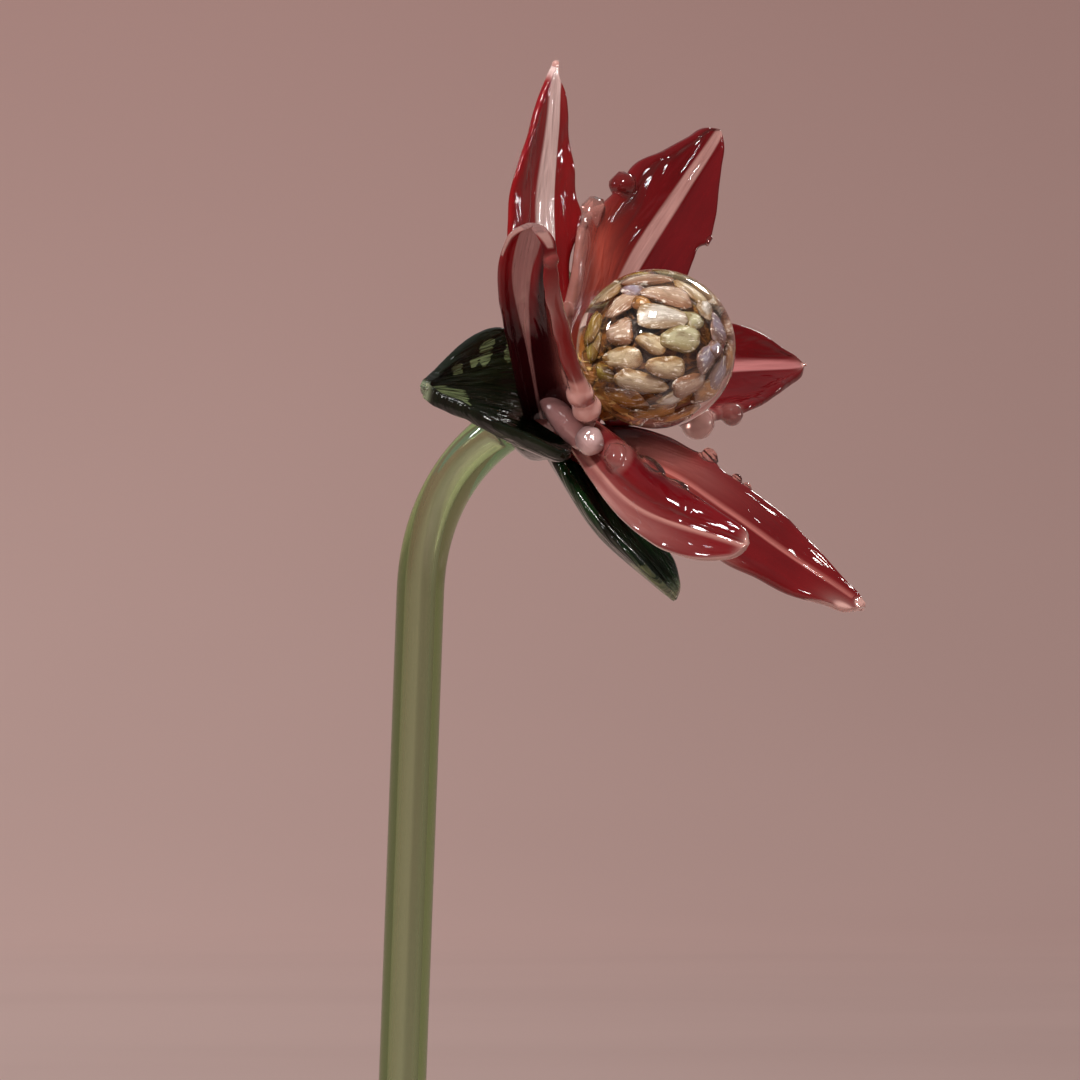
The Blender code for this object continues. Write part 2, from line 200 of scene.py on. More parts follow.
class Shader:
    """One material's node tree, and the short words that fill it."""

    def __init__(self, name: str) -> None:
        """Starts an empty material of that name."""
        self.material = bpy.data.materials.new(name)
        self.material.use_nodes = True
        self.tree = self.material.node_tree
        self.tree.nodes.clear()

    def node(self, kind: str, settings: dict | None = None, inputs: dict | None = None) -> bpy.types.Node:
        """Adds a node.

        Args:
            kind: The node's type.
            settings: Its own settings, such as operation.
            inputs: Values, sockets or Values for its sockets, by name or number.

        Returns:
            The node.
        """
        made = self.tree.nodes.new(kind)
        for key, value in (settings or {}).items():
            setattr(made, key, value)
        for key, value in (inputs or {}).items():
            socket = made.inputs[key]
            if isinstance(value, Value):
                value = value.socket
            if isinstance(value, bpy.types.NodeSocket):
                self.tree.links.new(value, socket)
            elif socket.type == "RGBA":
                socket.default_value = (*value, 1)
            else:
                socket.default_value = value
        return made

    def carried(self, *names: str) -> tuple[Value, ...]:
        """Numbers that the mesh carries at its points."""
        found = (self.node("ShaderNodeAttribute", {"attribute_name": name}) for name in names)
        return tuple(Value(self, node.outputs["Fac"]) for node in found)

    def colour(self, name: str) -> bpy.types.NodeSocket:
        """A colour that the mesh carries at its points."""
        return self.node("ShaderNodeAttribute", {"attribute_name": name}).outputs["Color"]

    def place(self, scale: Triple = (1, 1, 1)) -> bpy.types.NodeSocket:
        """Object coordinates, stretched along each axis."""
        spot = self.node("ShaderNodeTexCoord").outputs["Object"]
        return self.node("ShaderNodeMapping", None, {"Vector": spot, "Scale": scale}).outputs[0]

    def axis(self, letter: str) -> Value:
        """One object coordinate in metres: X to the right, or Z above the foot of the vase."""
        spot = self.node("ShaderNodeTexCoord").outputs["Object"]
        return Value(self, self.node("ShaderNodeSeparateXYZ", None, {0: spot}).outputs[letter])

    def spread(self) -> Value:
        """How far a place is from the object's own middle."""
        found = self.node("ShaderNodeVectorMath", {"operation": "LENGTH"}, {0: self.place()})
        return Value(self, found.outputs["Value"])

    def vector(self, x: Number, y: Number, z: Number) -> bpy.types.NodeSocket:
        """Three numbers as one vector."""
        return self.node("ShaderNodeCombineXYZ", None, {0: x, 1: y, 2: z}).outputs[0]

    def noise(
        self,
        spot: bpy.types.NodeSocket,
        scale: float = 1,
        detail: float = 2,
        rough: float = 0.5,
        bend: float = 0,
    ) -> Value:
        """Soft clouds from 0 to 1.

        Args:
            spot: Where to read them.
            scale: How many to a metre, or to a unit of the spot.
            detail: How many finer layers they have.
            rough: How strong the finer layers are.
            bend: How much they are stirred.

        Returns:
            The clouds.
        """
        inputs = {"Vector": spot, "Scale": scale, "Detail": detail, "Roughness": rough, "Distortion": bend}
        return Value(self, self.node("ShaderNodeTexNoise", None, inputs).outputs["Fac"])

    def cells(self, spot: bpy.types.NodeSocket, scale: float) -> Value:
        """Distance to the nearest of many scattered points."""
        made = self.node("ShaderNodeTexVoronoi", None, {"Vector": spot, "Scale": scale})
        return Value(self, made.outputs["Distance"])

    def mix(self, share: Number, first: object, second: object) -> bpy.types.NodeSocket:
        """The first colour going over to the second as share goes from 0 to 1."""
        made = self.node("ShaderNodeMix", {"data_type": "RGBA"}, {0: share, 6: first, 7: second})
        return made.outputs[2]

    def bump(
        self, height: Value, depth: float, under: bpy.types.NodeSocket | None = None
    ) -> bpy.types.NodeSocket:
        """Relief from a height of 0 to 1.

        Args:
            height: The relief.
            depth: How deep a height of 1 is, in metres.
            under: Another relief that this one lies on.

        Returns:
            The normal.
        """
        inputs = {"Height": height, "Distance": depth, "Strength": 1.0}
        if under is not None:
            inputs["Normal"] = under
        return self.node("ShaderNodeBump", None, inputs).outputs[0]

    def principled(self, **inputs: object) -> bpy.types.NodeSocket:
        """A Principled shader. An underscore in a name stands for a space."""
        named = {key.replace("_", " "): value for key, value in inputs.items()}
        return self.node("ShaderNodeBsdfPrincipled", None, named).outputs[0]

    def blend(
        self, share: Number, first: bpy.types.NodeSocket, second: bpy.types.NodeSocket
    ) -> bpy.types.NodeSocket:
        """The first shader going over to the second as share goes from 0 to 1."""
        return self.node("ShaderNodeMixShader", None, {0: share, 1: first, 2: second}).outputs[0]

    def finish(
        self, surface: bpy.types.NodeSocket, absorb: Colour | None = None, density: float = 0
    ) -> bpy.types.Material:
        """Wires up the output.

        Args:
            surface: The surface shader.
            absorb: The colour that the glass lets through, if it takes light away inside.
            density: How strongly it does, per metre.

        Returns:
            The material.
        """
        inputs = {"Surface": surface}
        if absorb is not None:
            inside = {"Color": absorb, "Density": density}
            inputs["Volume"] = self.node("ShaderNodeVolumeAbsorption", None, inside).outputs[0]
        self.node("ShaderNodeOutputMaterial", None, inputs)
        return self.material


# ---------------------------------------------------------------- meshes


def stand(name: str, shape: bmesh.types.BMesh, material: bpy.types.Material) -> bpy.types.Object:
    """Makes a smooth object of a mesh that is in place, and uses the mesh up."""
    mesh = bpy.data.meshes.new(name)
    shape.to_mesh(mesh)
    shape.free()
    mesh.shade_smooth()
    mesh.materials.append(material)
    made = bpy.data.objects.new(name, mesh)
    bpy.context.scene.collection.objects.link(made)
    return made


def add_piece(
    name: str, shape: bmesh.types.BMesh, material: bpy.types.Material, node: str
) -> bpy.types.Object:
    """Makes a finished piece of a mesh, and has it stand for its CAD node.

    Args:
        name: The piece's name.
        shape: Its mesh, in place, which is used up.
        material: Its finish.
        node: The CAD node that it stands for.

    Returns:
        The piece.
    """
    piece = stand(name, shape, material)
    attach(piece, BODY)
    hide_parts(node)
    LOG.info("%s: %d faces, stands for %s", name, len(piece.data.polygons), node)
    return piece


def turn(profile: list[tuple[float, float]], steps: int) -> bmesh.types.BMesh:
    """Turns (radius, height) points about Z into a closed mesh.

    Args:
        profile: The points, from one end on the axis to the other.
        steps: How many steps a whole turn has.

    Returns:
        The mesh.
    """
    shape = bmesh.new()
    line = [shape.verts.new((radius, 0, height)) for radius, height in profile]
    edges = [shape.edges.new(pair) for pair in zip(line, line[1:])]
    bmesh.ops.spin(
        shape, geom=line + edges, cent=(0, 0, 0), axis=UP, angle=2 * pi, steps=steps, use_merge=True
    )
    bmesh.ops.remove_doubles(shape, verts=shape.verts, dist=WELD)
    bmesh.ops.recalc_face_normals(shape, faces=shape.faces)
    return shape


def ball(radius: float, around: int, steps: int) -> bmesh.types.BMesh:
    """A ball round the origin, with its poles on Z and that many steps round and from pole to pole."""
    shape = bmesh.new()
    bmesh.ops.create_uvsphere(shape, u_segments=around, v_segments=steps, radius=radius)
    return shape


def move(shape: bmesh.types.BMesh, matrix: Matrix) -> None:
    """Moves and turns a whole mesh."""
    bmesh.ops.transform(shape, matrix=matrix, verts=shape.verts)


def face_out(shape: bmesh.types.BMesh) -> None:
    """Turns a closed mesh's faces outwards."""
    if shape.calc_volume(signed=True) < 0:
        bmesh.ops.reverse_faces(shape, faces=shape.faces)


def sweep(points: list[Vector], radii: list[float], sides: int) -> bmesh.types.BMesh:
    """A round bar through points, with a flat cap at each end.

    Args:
        points: The bar's middle line.
        radii: Its radius at each point.
        sides: How many sides a ring has.

    Returns:
        The mesh, facing out.
    """
    shape = bmesh.new()
    tangent = (points[1] - points[0]).normalized()
    across = tangent.orthogonal().normalized()
    rings: list[list[bmesh.types.BMEdge]] = []
    for number, (point, radius) in enumerate(zip(points, radii)):
        ahead = points[min(number + 1, len(points) - 1)]
        behind = points[max(number - 1, 0)]
        tangent = (ahead - behind).normalized()
        across = (across - tangent * across.dot(tangent)).normalized()
        facing = Matrix((across, tangent.cross(across), tangent)).transposed().to_4x4()
        capped = number in (0, len(points) - 1)
        made = bmesh.ops.create_circle(
            shape, cap_ends=capped, segments=sides, radius=radius, matrix=Matrix.Translation(point) @ facing
        )
        rings.append(list({edge for vert in made["verts"] for edge in vert.link_edges}))
    for low, high in zip(rings, rings[1:]):
        bmesh.ops.bridge_loops(shape, edges=low + high)
    bmesh.ops.recalc_face_normals(shape, faces=shape.faces)
    face_out(shape)
    return shape


def join(first: bmesh.types.BMesh, second: bmesh.types.BMesh) -> bmesh.types.BMesh:
    """Adds the second mesh to the first, and uses it up."""
    holder = bpy.data.meshes.new("holder")
    second.to_mesh(holder)
    second.free()
    first.from_mesh(holder)
    bpy.data.meshes.remove(holder)
    return first


# ---------------------------------------------------------------- where the flower is


@dataclass(frozen=True)
class FlowerFrame:
    """The flower's own directions: out along its axis, up to its crown and round to its back."""

    heading: float = radians(-26.4)
    rise: float = radians(28.66)
    reach: float = 50.1 * MM
    height: float = 342.5 * MM

    @cached_property
    def level(self) -> Vector:
        """The level direction that the flower faces."""
        return Vector((cos(self.heading), sin(self.heading), 0))

    @cached_property
    def axis(self) -> Vector:
        """Out of the flower's middle."""
        return (self.level * cos(self.rise) + UP * sin(self.rise)).normalized()

    @cached_property
    def crown(self) -> Vector:
        """Square to the axis, towards the flower's highest side."""
        return self.axis.cross(Vector((0, 1, 0))).normalized()

    @cached_property
    def back(self) -> Vector:
        """Square to the axis and the crown."""
        return self.crown.cross(self.axis)

    @cached_property
    def base(self) -> Vector:
        """Where the petals' lines meet the axis."""
        return self.level * self.reach + UP * self.height

    def radial(self, azimuth: float) -> Vector:
        """Square to the axis, by degrees from the crown towards the back."""
        return self.crown * cos(radians(azimuth)) + self.back * sin(radians(azimuth))

    def tangential(self, azimuth: float) -> Vector:
        """Square to the axis and to the radial direction of that azimuth."""
        return self.back * cos(radians(azimuth)) - self.crown * sin(radians(azimuth))

    def spot(self, where: Triple) -> Vector:
        """From the base to an azimuth, a reach from the axis and a rise along it, in their own unit."""
        azimuth, reach, rise = where
        return self.radial(azimuth) * reach + self.axis * rise

    def place(self, spot: Vector) -> Matrix:
        """Takes the origin to a spot, and Z to the axis."""
        facing = Matrix((self.back, self.crown, self.axis)).transposed().to_4x4()
        return Matrix.Translation(spot) @ facing


FLOWER = FlowerFrame()


# ---------------------------------------------------------------- finishes


@dataclass(frozen=True)
class PetalGlass:
    """Red glass cased in clear, with a pale trailed midrib and clear pink edges, and painted shade where a
    leaf lays its dark spots. Sizes in millimetres.
    """

    deep: Colour = paint(70, 5, 9)
    bright: Colour = paint(104, 10, 16)
    stripe: Colour = paint(188, 148, 142)
    warm: Colour = paint(196, 92, 70)
    # Near-black wine, used only as painted shade.
    shade_wine: Colour = paint(34, 4, 8)
    edge: Colour = paint(228, 176, 168)
    opal: Colour = paint(126, 74, 70)
    pearl: Colour = paint(196, 152, 144)
    stripe_at: Stations = LEVEL
    stripe_half: Stations = ((0, 2.2), (1, 0.9))
    soft: tuple[float, float] = (0.35, 0.35)
    stripe_clear: float = 0.1
    shine: float = 0.36
    wander: float = 0.78
    ripple: float = 0.7
    grain: float = 0.03

    def stripe_place(self, along: float, aside: float, melted: float) -> tuple[float, float]:
        """How the stripe lies at a place, for the mesh to carry.

        Args:
            along: The place, from 0 at the petal's root to 1 at its tip.
            aside: Its distance from the midrib.
            melted: How far a drop covers it, from 0 to 1; the stripe stops there.

        Returns:
            The place's distance from the stripe's middle, and half the stripe's width.
        """
        bare = 1 - melted
        return aside - read(self.stripe_at, along), read(self.stripe_half, along) * bare - 2 * melted

    def dress(self, name: str) -> bpy.types.Material:
        """Makes the finish.

        Args:
            name: The petal's name.

        Returns:
            The material.
        """
        s = Shader(f"{name}_glass")
        along, aside, clear, warm, dark, milk, stripe_off, stripe_half = s.carried(*LEAF_LAYERS)
        flow = s.noise(s.vector(aside * 0.34, along * 2.4, 0), detail=4, rough=0.55, bend=0.6)
        fine = s.noise(s.vector(aside * 2.2, along * 5.0, 3), detail=3, rough=0.6)
        cloud = s.noise(s.place(), scale=55)
        off = stripe_off + (flow - 0.5) * self.wander
        left = (off * -1).step(stripe_half + self.soft[0], stripe_half - self.soft[0])
        right = off.step(stripe_half + self.soft[1], stripe_half - self.soft[1])
        stripe = left * right
        body = s.mix((cloud * 0.7 + flow * 0.5 - 0.15).least(1), self.deep, self.bright)
        # Painted shade: the dark layer mixes in the near-black wine.
        body = s.mix(dark, body, self.shade_wine)
        body = s.mix((warm + (flow - 0.5) * warm * 0.5).least(1), body, self.warm)
        haze = (milk * 1.6 + (flow - 0.5) * milk).least(1)
        opal = s.mix(cloud.step(0.3, 0.7), self.opal, dim(self.opal, 0.78))
        body = s.mix(haze * 0.9, body, s.mix(milk.step(0.6, 1.0), opal, self.pearl))
        pale = s.mix(fine.step(0.3, 0.75), self.stripe, dim(self.stripe, 0.8))
        body = s.mix(stripe * 0.92, body, pale)
        clear_share = (clear + (flow - 0.5) * 0.5 * clear).step(0.15, 0.85)
        ripples = s.noise(s.vector(aside * 0.22, along * 4.2, 7), rough=0.45, bend=0.8)
        relief = s.bump(fine, self.grain * MM, s.bump(ripples, self.ripple * MM))
        solid = s.principled(
            Base_Color=body, Roughness=0.05, IOR=1.45, Specular_IOR_Level=self.shine, Normal=relief,
            Coat_Weight=milk.step(0.2, 0.7), Coat_Roughness=0.02,
        )
        glassy = s.principled(
            Base_Color=s.mix(cloud, self.edge, dim(self.edge, 0.86)), Roughness=0.03, IOR=1.48,
            Normal=relief, Transmission_Weight=1.0,
        )
        share = (clear_share * (1 - milk * 0.4).most(0.15) * 0.94).most(stripe * self.stripe_clear)
        return s.finish(s.blend(share, solid, glassy))


@dataclass(frozen=True)
class SepalGlass:
    """Green glass so dark that it's nearly black, streaked out from the tip with olive. Millimetres."""

    dark: Colour = paint(8, 11, 6)
    green: Colour = paint(12, 20, 9)
    olive: Colour = paint(104, 116, 80)
    # Clear glass at the tip, whose pale colour is partly a painted highlight.
    tip: Colour = paint(196, 210, 172)
    olive_share: float = 0.16
    ridge: float = 1.8
    grain: float = 0.2

    def dress(self, name: str) -> bpy.types.Material:
        """Makes the finish of one sepal."""
        s = Shader(f"{name}_glass")
        along, aside, clear, warm = s.carried("along", "aside", "clear", "warm")
        fan = aside * ((1.12 - along) ** -0.8) * 0.14
        flow = s.noise(s.vector(fan * 2.6, along * 1.5, 1), detail=3, rough=0.55, bend=0.5)
        fine = s.noise(s.vector(fan * 9, along * 3.0, 5), detail=3, rough=0.6)
        body = s.mix(flow.step(0.35, 0.7), self.dark, self.green)
        streak = (flow * 0.5 + fine * 0.5).step(0.6, 0.7) * self.olive_share
        ribs = s.noise(s.vector(fan * 7, along * 1.1, 2), detail=1)
        patch = (warm + (ribs - 0.5) * 2.2 * warm + (fine - 0.5) * 0.4 * warm).step(0.46, 0.52)
        body = s.mix(streak.most(patch).least(1), body, s.mix(fine.step(0.4, 0.7), self.olive, self.green))
        # Painted highlight: the clear tip is painted pale.
        body = s.mix(clear, body, self.tip)
        ridges = s.noise(s.vector(fan * 2.6, along * 1.6, 9))
        relief = s.bump(fine, self.grain * MM, s.bump(ridges, self.ridge * MM))
        solid = s.principled(
            Base_Color=body, Roughness=0.05, IOR=GLASS_IOR, Specular_IOR_Level=0.3, Normal=relief
        )
        glassy = s.principled(
            Base_Color=s.mix(clear, self.olive, self.tip), Roughness=0.03, IOR=GLASS_IOR, Normal=relief,
            Transmission_Weight=0.9,
        )
        return s.finish(s.blend((patch * 0.3 + clear).least(0.9), solid, glassy))


@dataclass(frozen=True)
class StemGlass:
    """Clear olive-green tube."""

    through: Colour = (0.32, 0.57, 0.10)
    density: float = 185.0
    drawing_lines: float = 0.006 * MM

    def dress(self) -> bpy.types.Material:
        """Makes the finish: faint drawing lines, and green that deepens with the glass's thickness."""
        s = Shader("stem_glass_finish")
        lines = s.noise(s.place((420, 420, 9)), detail=3, rough=0.6)
        surface = s.principled(
            Base_Color=(1, 1, 1), Roughness=0.01, IOR=GLASS_IOR, Transmission_Weight=1.0,
            Normal=s.bump(lines, self.drawing_lines),
        )
        return s.finish(surface, self.through, self.density)


@dataclass(frozen=True)
class GatherGlass:
    """The glass at the flower's base: pink in front, dark green behind. The default pink is dark, as painted
    shade among the roots.
    """

    # Darkened as painted shade, for the gather lies among the roots of the petals and sepals.
    front: Colour = paint(96, 50, 48)
    behind: Colour = paint(14, 22, 11)
    clearness: float = 0.06
    dents: float = 0.8 * MM

    def dress(self, name: str) -> bpy.types.Material:
        """Makes the finish of one piece."""
        s = Shader(f"{name}_finish")
        (ahead,) = s.carried("along")
        cloud = s.noise(s.place(), scale=140, detail=3, rough=0.55, bend=0.8)
        share = (ahead + (cloud - 0.5) * 0.5).step(0.25, 0.5)
        surface = s.principled(
            Base_Color=s.mix(share, self.behind, self.front), Roughness=0.03, IOR=GLASS_IOR,
            Normal=s.bump(cloud, self.dents), Coat_Weight=0.5, Coat_Roughness=0.02,
            Transmission_Weight=self.clearness,
        )
        return s.finish(surface)


@dataclass(frozen=True)
class DomeGlass:
    """Thick clear glass with a breath of amber."""

    through: Colour = (0.90, 0.72, 0.45)
    density: float = 9.0
    dents: float = 0.35 * MM

    def dress(self) -> bpy.types.Material:
        """Makes the finish: polished, with the slight unevenness of glass that was shaped by hand."""
        s = Shader("dome_glass_finish")
        relief = s.bump(s.noise(s.place(), scale=70, detail=1, bend=0.4), self.dents)
        surface = s.principled(
            Base_Color=(1, 1, 1), Roughness=0.0, IOR=GLASS_IOR, Transmission_Weight=1.0, Normal=relief
        )
        return s.finish(surface, self.through, self.density)


@dataclass(frozen=True)
class CoreGlass:
    """Amber-brown glass, streaky and dark in its folds, with painted shade behind the front chips."""

    amber: Colour = paint(140, 88, 36)
    brown: Colour = paint(38, 21, 12)
    gold: Colour = paint(204, 168, 104)
    folds: float = 0.5 * MM

    def dress(self) -> bpy.types.Material:
        """Makes the finish: gold threads over amber, and painted shade that darkens the glass behind the
        front chips.
        """
        s = Shader("core_glass_finish")
        (front,) = s.carried("front")
        cloud = s.noise(s.place(), scale=190, detail=5, rough=0.6, bend=1.5)
        threads = s.noise(s.place((150, 150, 620)), detail=4, rough=0.6, bend=1.2)
        # Painted shade: the glass goes browner towards the front, in the gaps between the chips.
        body = s.mix((cloud - front * 0.16).step(0.34, 0.56), self.brown, self.amber)
        body = s.mix((threads - front * 0.12).step(0.54, 0.66), body, self.gold)
        relief = s.bump(cloud, self.folds, s.bump(threads, self.folds))
        surface = s.principled(
            Base_Color=body, Roughness=0.3, Specular_IOR_Level=0.3, IOR=GLASS_IOR, Normal=relief
        )
        return s.finish(surface)


class Tint(Enum):
    """The colours of the chips, the middle of each and its thin edge; the edge colour also paints shade on
    each chip's lower side.
    """

    CREAM = (paint(172, 156, 126), paint(118, 86, 46))
    SILVER = (paint(168, 160, 150), paint(126, 102, 74))
    MINT = (paint(154, 150, 120), paint(112, 96, 58))
    ROSE = (paint(154, 128, 108), paint(110, 72, 48))
    OCHRE = (paint(150, 128, 56), paint(100, 70, 22))
    VIOLET = (paint(122, 112, 126), paint(106, 76, 64))
    AMBER = (paint(150, 104, 50), paint(92, 52, 18))


@dataclass(frozen=True)
class ChipGlass:
    """Pale chips with a crystalline skin."""

    shade: Colour = paint(90, 64, 42)
    frost: Colour = paint(244, 238, 226)
    crystal: float = 0.08 * MM
    groove: float = 0.16 * MM

    def dress(self) -> bpy.types.Material:
        """Makes the finish, shared by all chips: each carries its own colours."""
        s = Shader("chip_glass_finish")
        along, aside = s.carried("along", "aside")
        grain = s.noise(s.place(), scale=1100, detail=4, rough=0.7)
        cloud = s.noise(s.place(), scale=260, detail=3, rough=0.55, bend=0.8)
        streaks = s.noise(s.vector(aside * 1.5, along * 0.3, 0), detail=4, rough=0.6, bend=0.7)
        crystals = s.cells(s.place(), 1300)
        shaded = (cloud.step(0.5, 0.75) * 0.45 + streaks.step(0.5, 0.7) * 0.35).least(1)
        frosted = streaks.step(0.46, 0.36) * grain.step(0.6, 0.4) * 0.6
        body = s.mix(frosted, s.mix(shaded, s.colour("tint"), self.shade), self.frost)
        relief = s.bump(streaks, self.groove, s.bump(crystals, self.crystal))
        surface = s.principled(
            Base_Color=body, Roughness=grain * 0.3 + 0.08, IOR=GLASS_IOR, Normal=relief, Coat_Weight=0.4,
            Coat_Roughness=0.03,
        )
        return s.finish(surface)


@dataclass(frozen=True)
class StonewareGlaze:
    """Off-white satin glaze over a buff body, with iron specks and a bare foot."""

    glaze: Colour = paint(226, 219, 206)
    thin: Colour = paint(196, 178, 152)
    clay: Colour = paint(176, 148, 118)
    speck: Colour = paint(110, 84, 60)
    foot: float = 3.0 * MM
    throwing_rings: float = 0.35 * MM
    grain: float = 0.03 * MM

    def dress(self, top: float) -> bpy.types.Material:
        """Makes the finish.

        Args:
            top: The height of the lip, where the glaze breaks thin.

        Returns:
            The material.
        """
        s = Shader("stoneware_glaze")
        height = s.axis("Z")
        cloud = s.noise(s.place(), scale=22, detail=4, rough=0.55, bend=0.4)
        fine = s.noise(s.place(), scale=650, detail=3, rough=0.6)
        rings = s.noise(s.place((9, 9, 330)))
        specks = s.cells(s.place(), 210)
        speck_size = s.noise(s.place(), scale=60, detail=1)
        speck = specks.step(0.13, 0.07) * speck_size.step(0.48, 0.62)
        body = s.mix(cloud.step(0.3, 0.75), self.glaze, dim(self.glaze, 0.93))
        lip = (height + (cloud - 0.5) * (3 * MM)).step(top - 3.0 * MM, top - 0.2 * MM)
        body = s.mix(lip * 0.75, body, self.thin)
        body = s.mix(speck * 0.7, body, self.speck)
        bare = (height + (cloud - 0.5) * (1.6 * MM)).step(self.foot + 0.5 * MM, self.foot - 0.3 * MM)
        body = s.mix(bare, body, s.mix(fine, self.clay, dim(self.clay, 0.8)))
        relief = s.bump(fine, self.grain, s.bump(rings, self.throwing_rings))
        surface = s.principled(
            Base_Color=body, Roughness=bare * 0.45 + cloud * 0.12 + 0.3, IOR=GLASS_IOR, Normal=relief,
            Coat_Weight=(1 - bare) * 0.25, Coat_Roughness=0.25,
        )
        return s.finish(surface)


@dataclass(frozen=True)
class StudioPaper:
    """Matt dusty-rose paper, paler underfoot as painted light from above and darker to the right as painted
    shade. Away from the object it glows, as if it were lit by itself.
    """

    floor: Colour = paint(238, 210, 203)
    wall: Colour = paint(208, 172, 166)
    glow: float = 0.23
    glow_from: tuple[float, float] = (0.6, 3.2)

    def dress(self, rise: float) -> bpy.types.Material:
        """Makes the finish.

        Args:
            rise: The height over which the floor's colour goes over to the wall's.

        Returns:
            The material.
        """
        s = Shader("studio_paper")
        cloud = s.noise(s.place(), scale=1.1, detail=3)
        # Painted light: the floor is paler than the wall.
        body = s.mix(s.axis("Z").step(-0.2, rise), self.floor, self.wall)
        # Painted shade: darker towards the right, with a faint random mottle.
        shade = s.axis("X").step(-0.7, 0.9) * 0.5 + cloud.step(0.3, 0.8) * 0.08
        body = s.mix(shade, body, dim(self.wall, 0.62))
        surface = s.principled(
            Base_Color=body, Roughness=0.9, Specular_IOR_Level=0.1, Emission_Strength=self.glow,
            Emission_Color=s.mix(s.spread().step(*self.glow_from), (0, 0, 0), body),
        )
        return s.finish(surface)


# ---------------------------------------------------------------- petals and sepals


@dataclass(frozen=True)
class Drop:
    """A round drop of glass melted into a leaf. Sizes in millimetres; along is below 0 behind the root."""

    along: float
    across: float
    radius: float
    out: float = 0.0
    lift: float = 0.0
    clear: float = 1.0
    milk: float = 0.0
    long: float = 1.0


@dataclass(frozen=True)
class Spot:
    """A soft patch of tint: its place along and aside, its lengths, and how strong it is."""

    along: float
    aside: float
    long: float
    wide: float
    share: float = 1.0


@dataclass(frozen=True)
class Ring:
    """What a leaf's whole cross-section shares at one place along it. Millimetres, and radians for pitch."""

    along: float
    spot: Vector
    side: Vector
    inward: Vector
    halves: tuple[float, float]
    pitch: tuple[float, float]
    thick: float


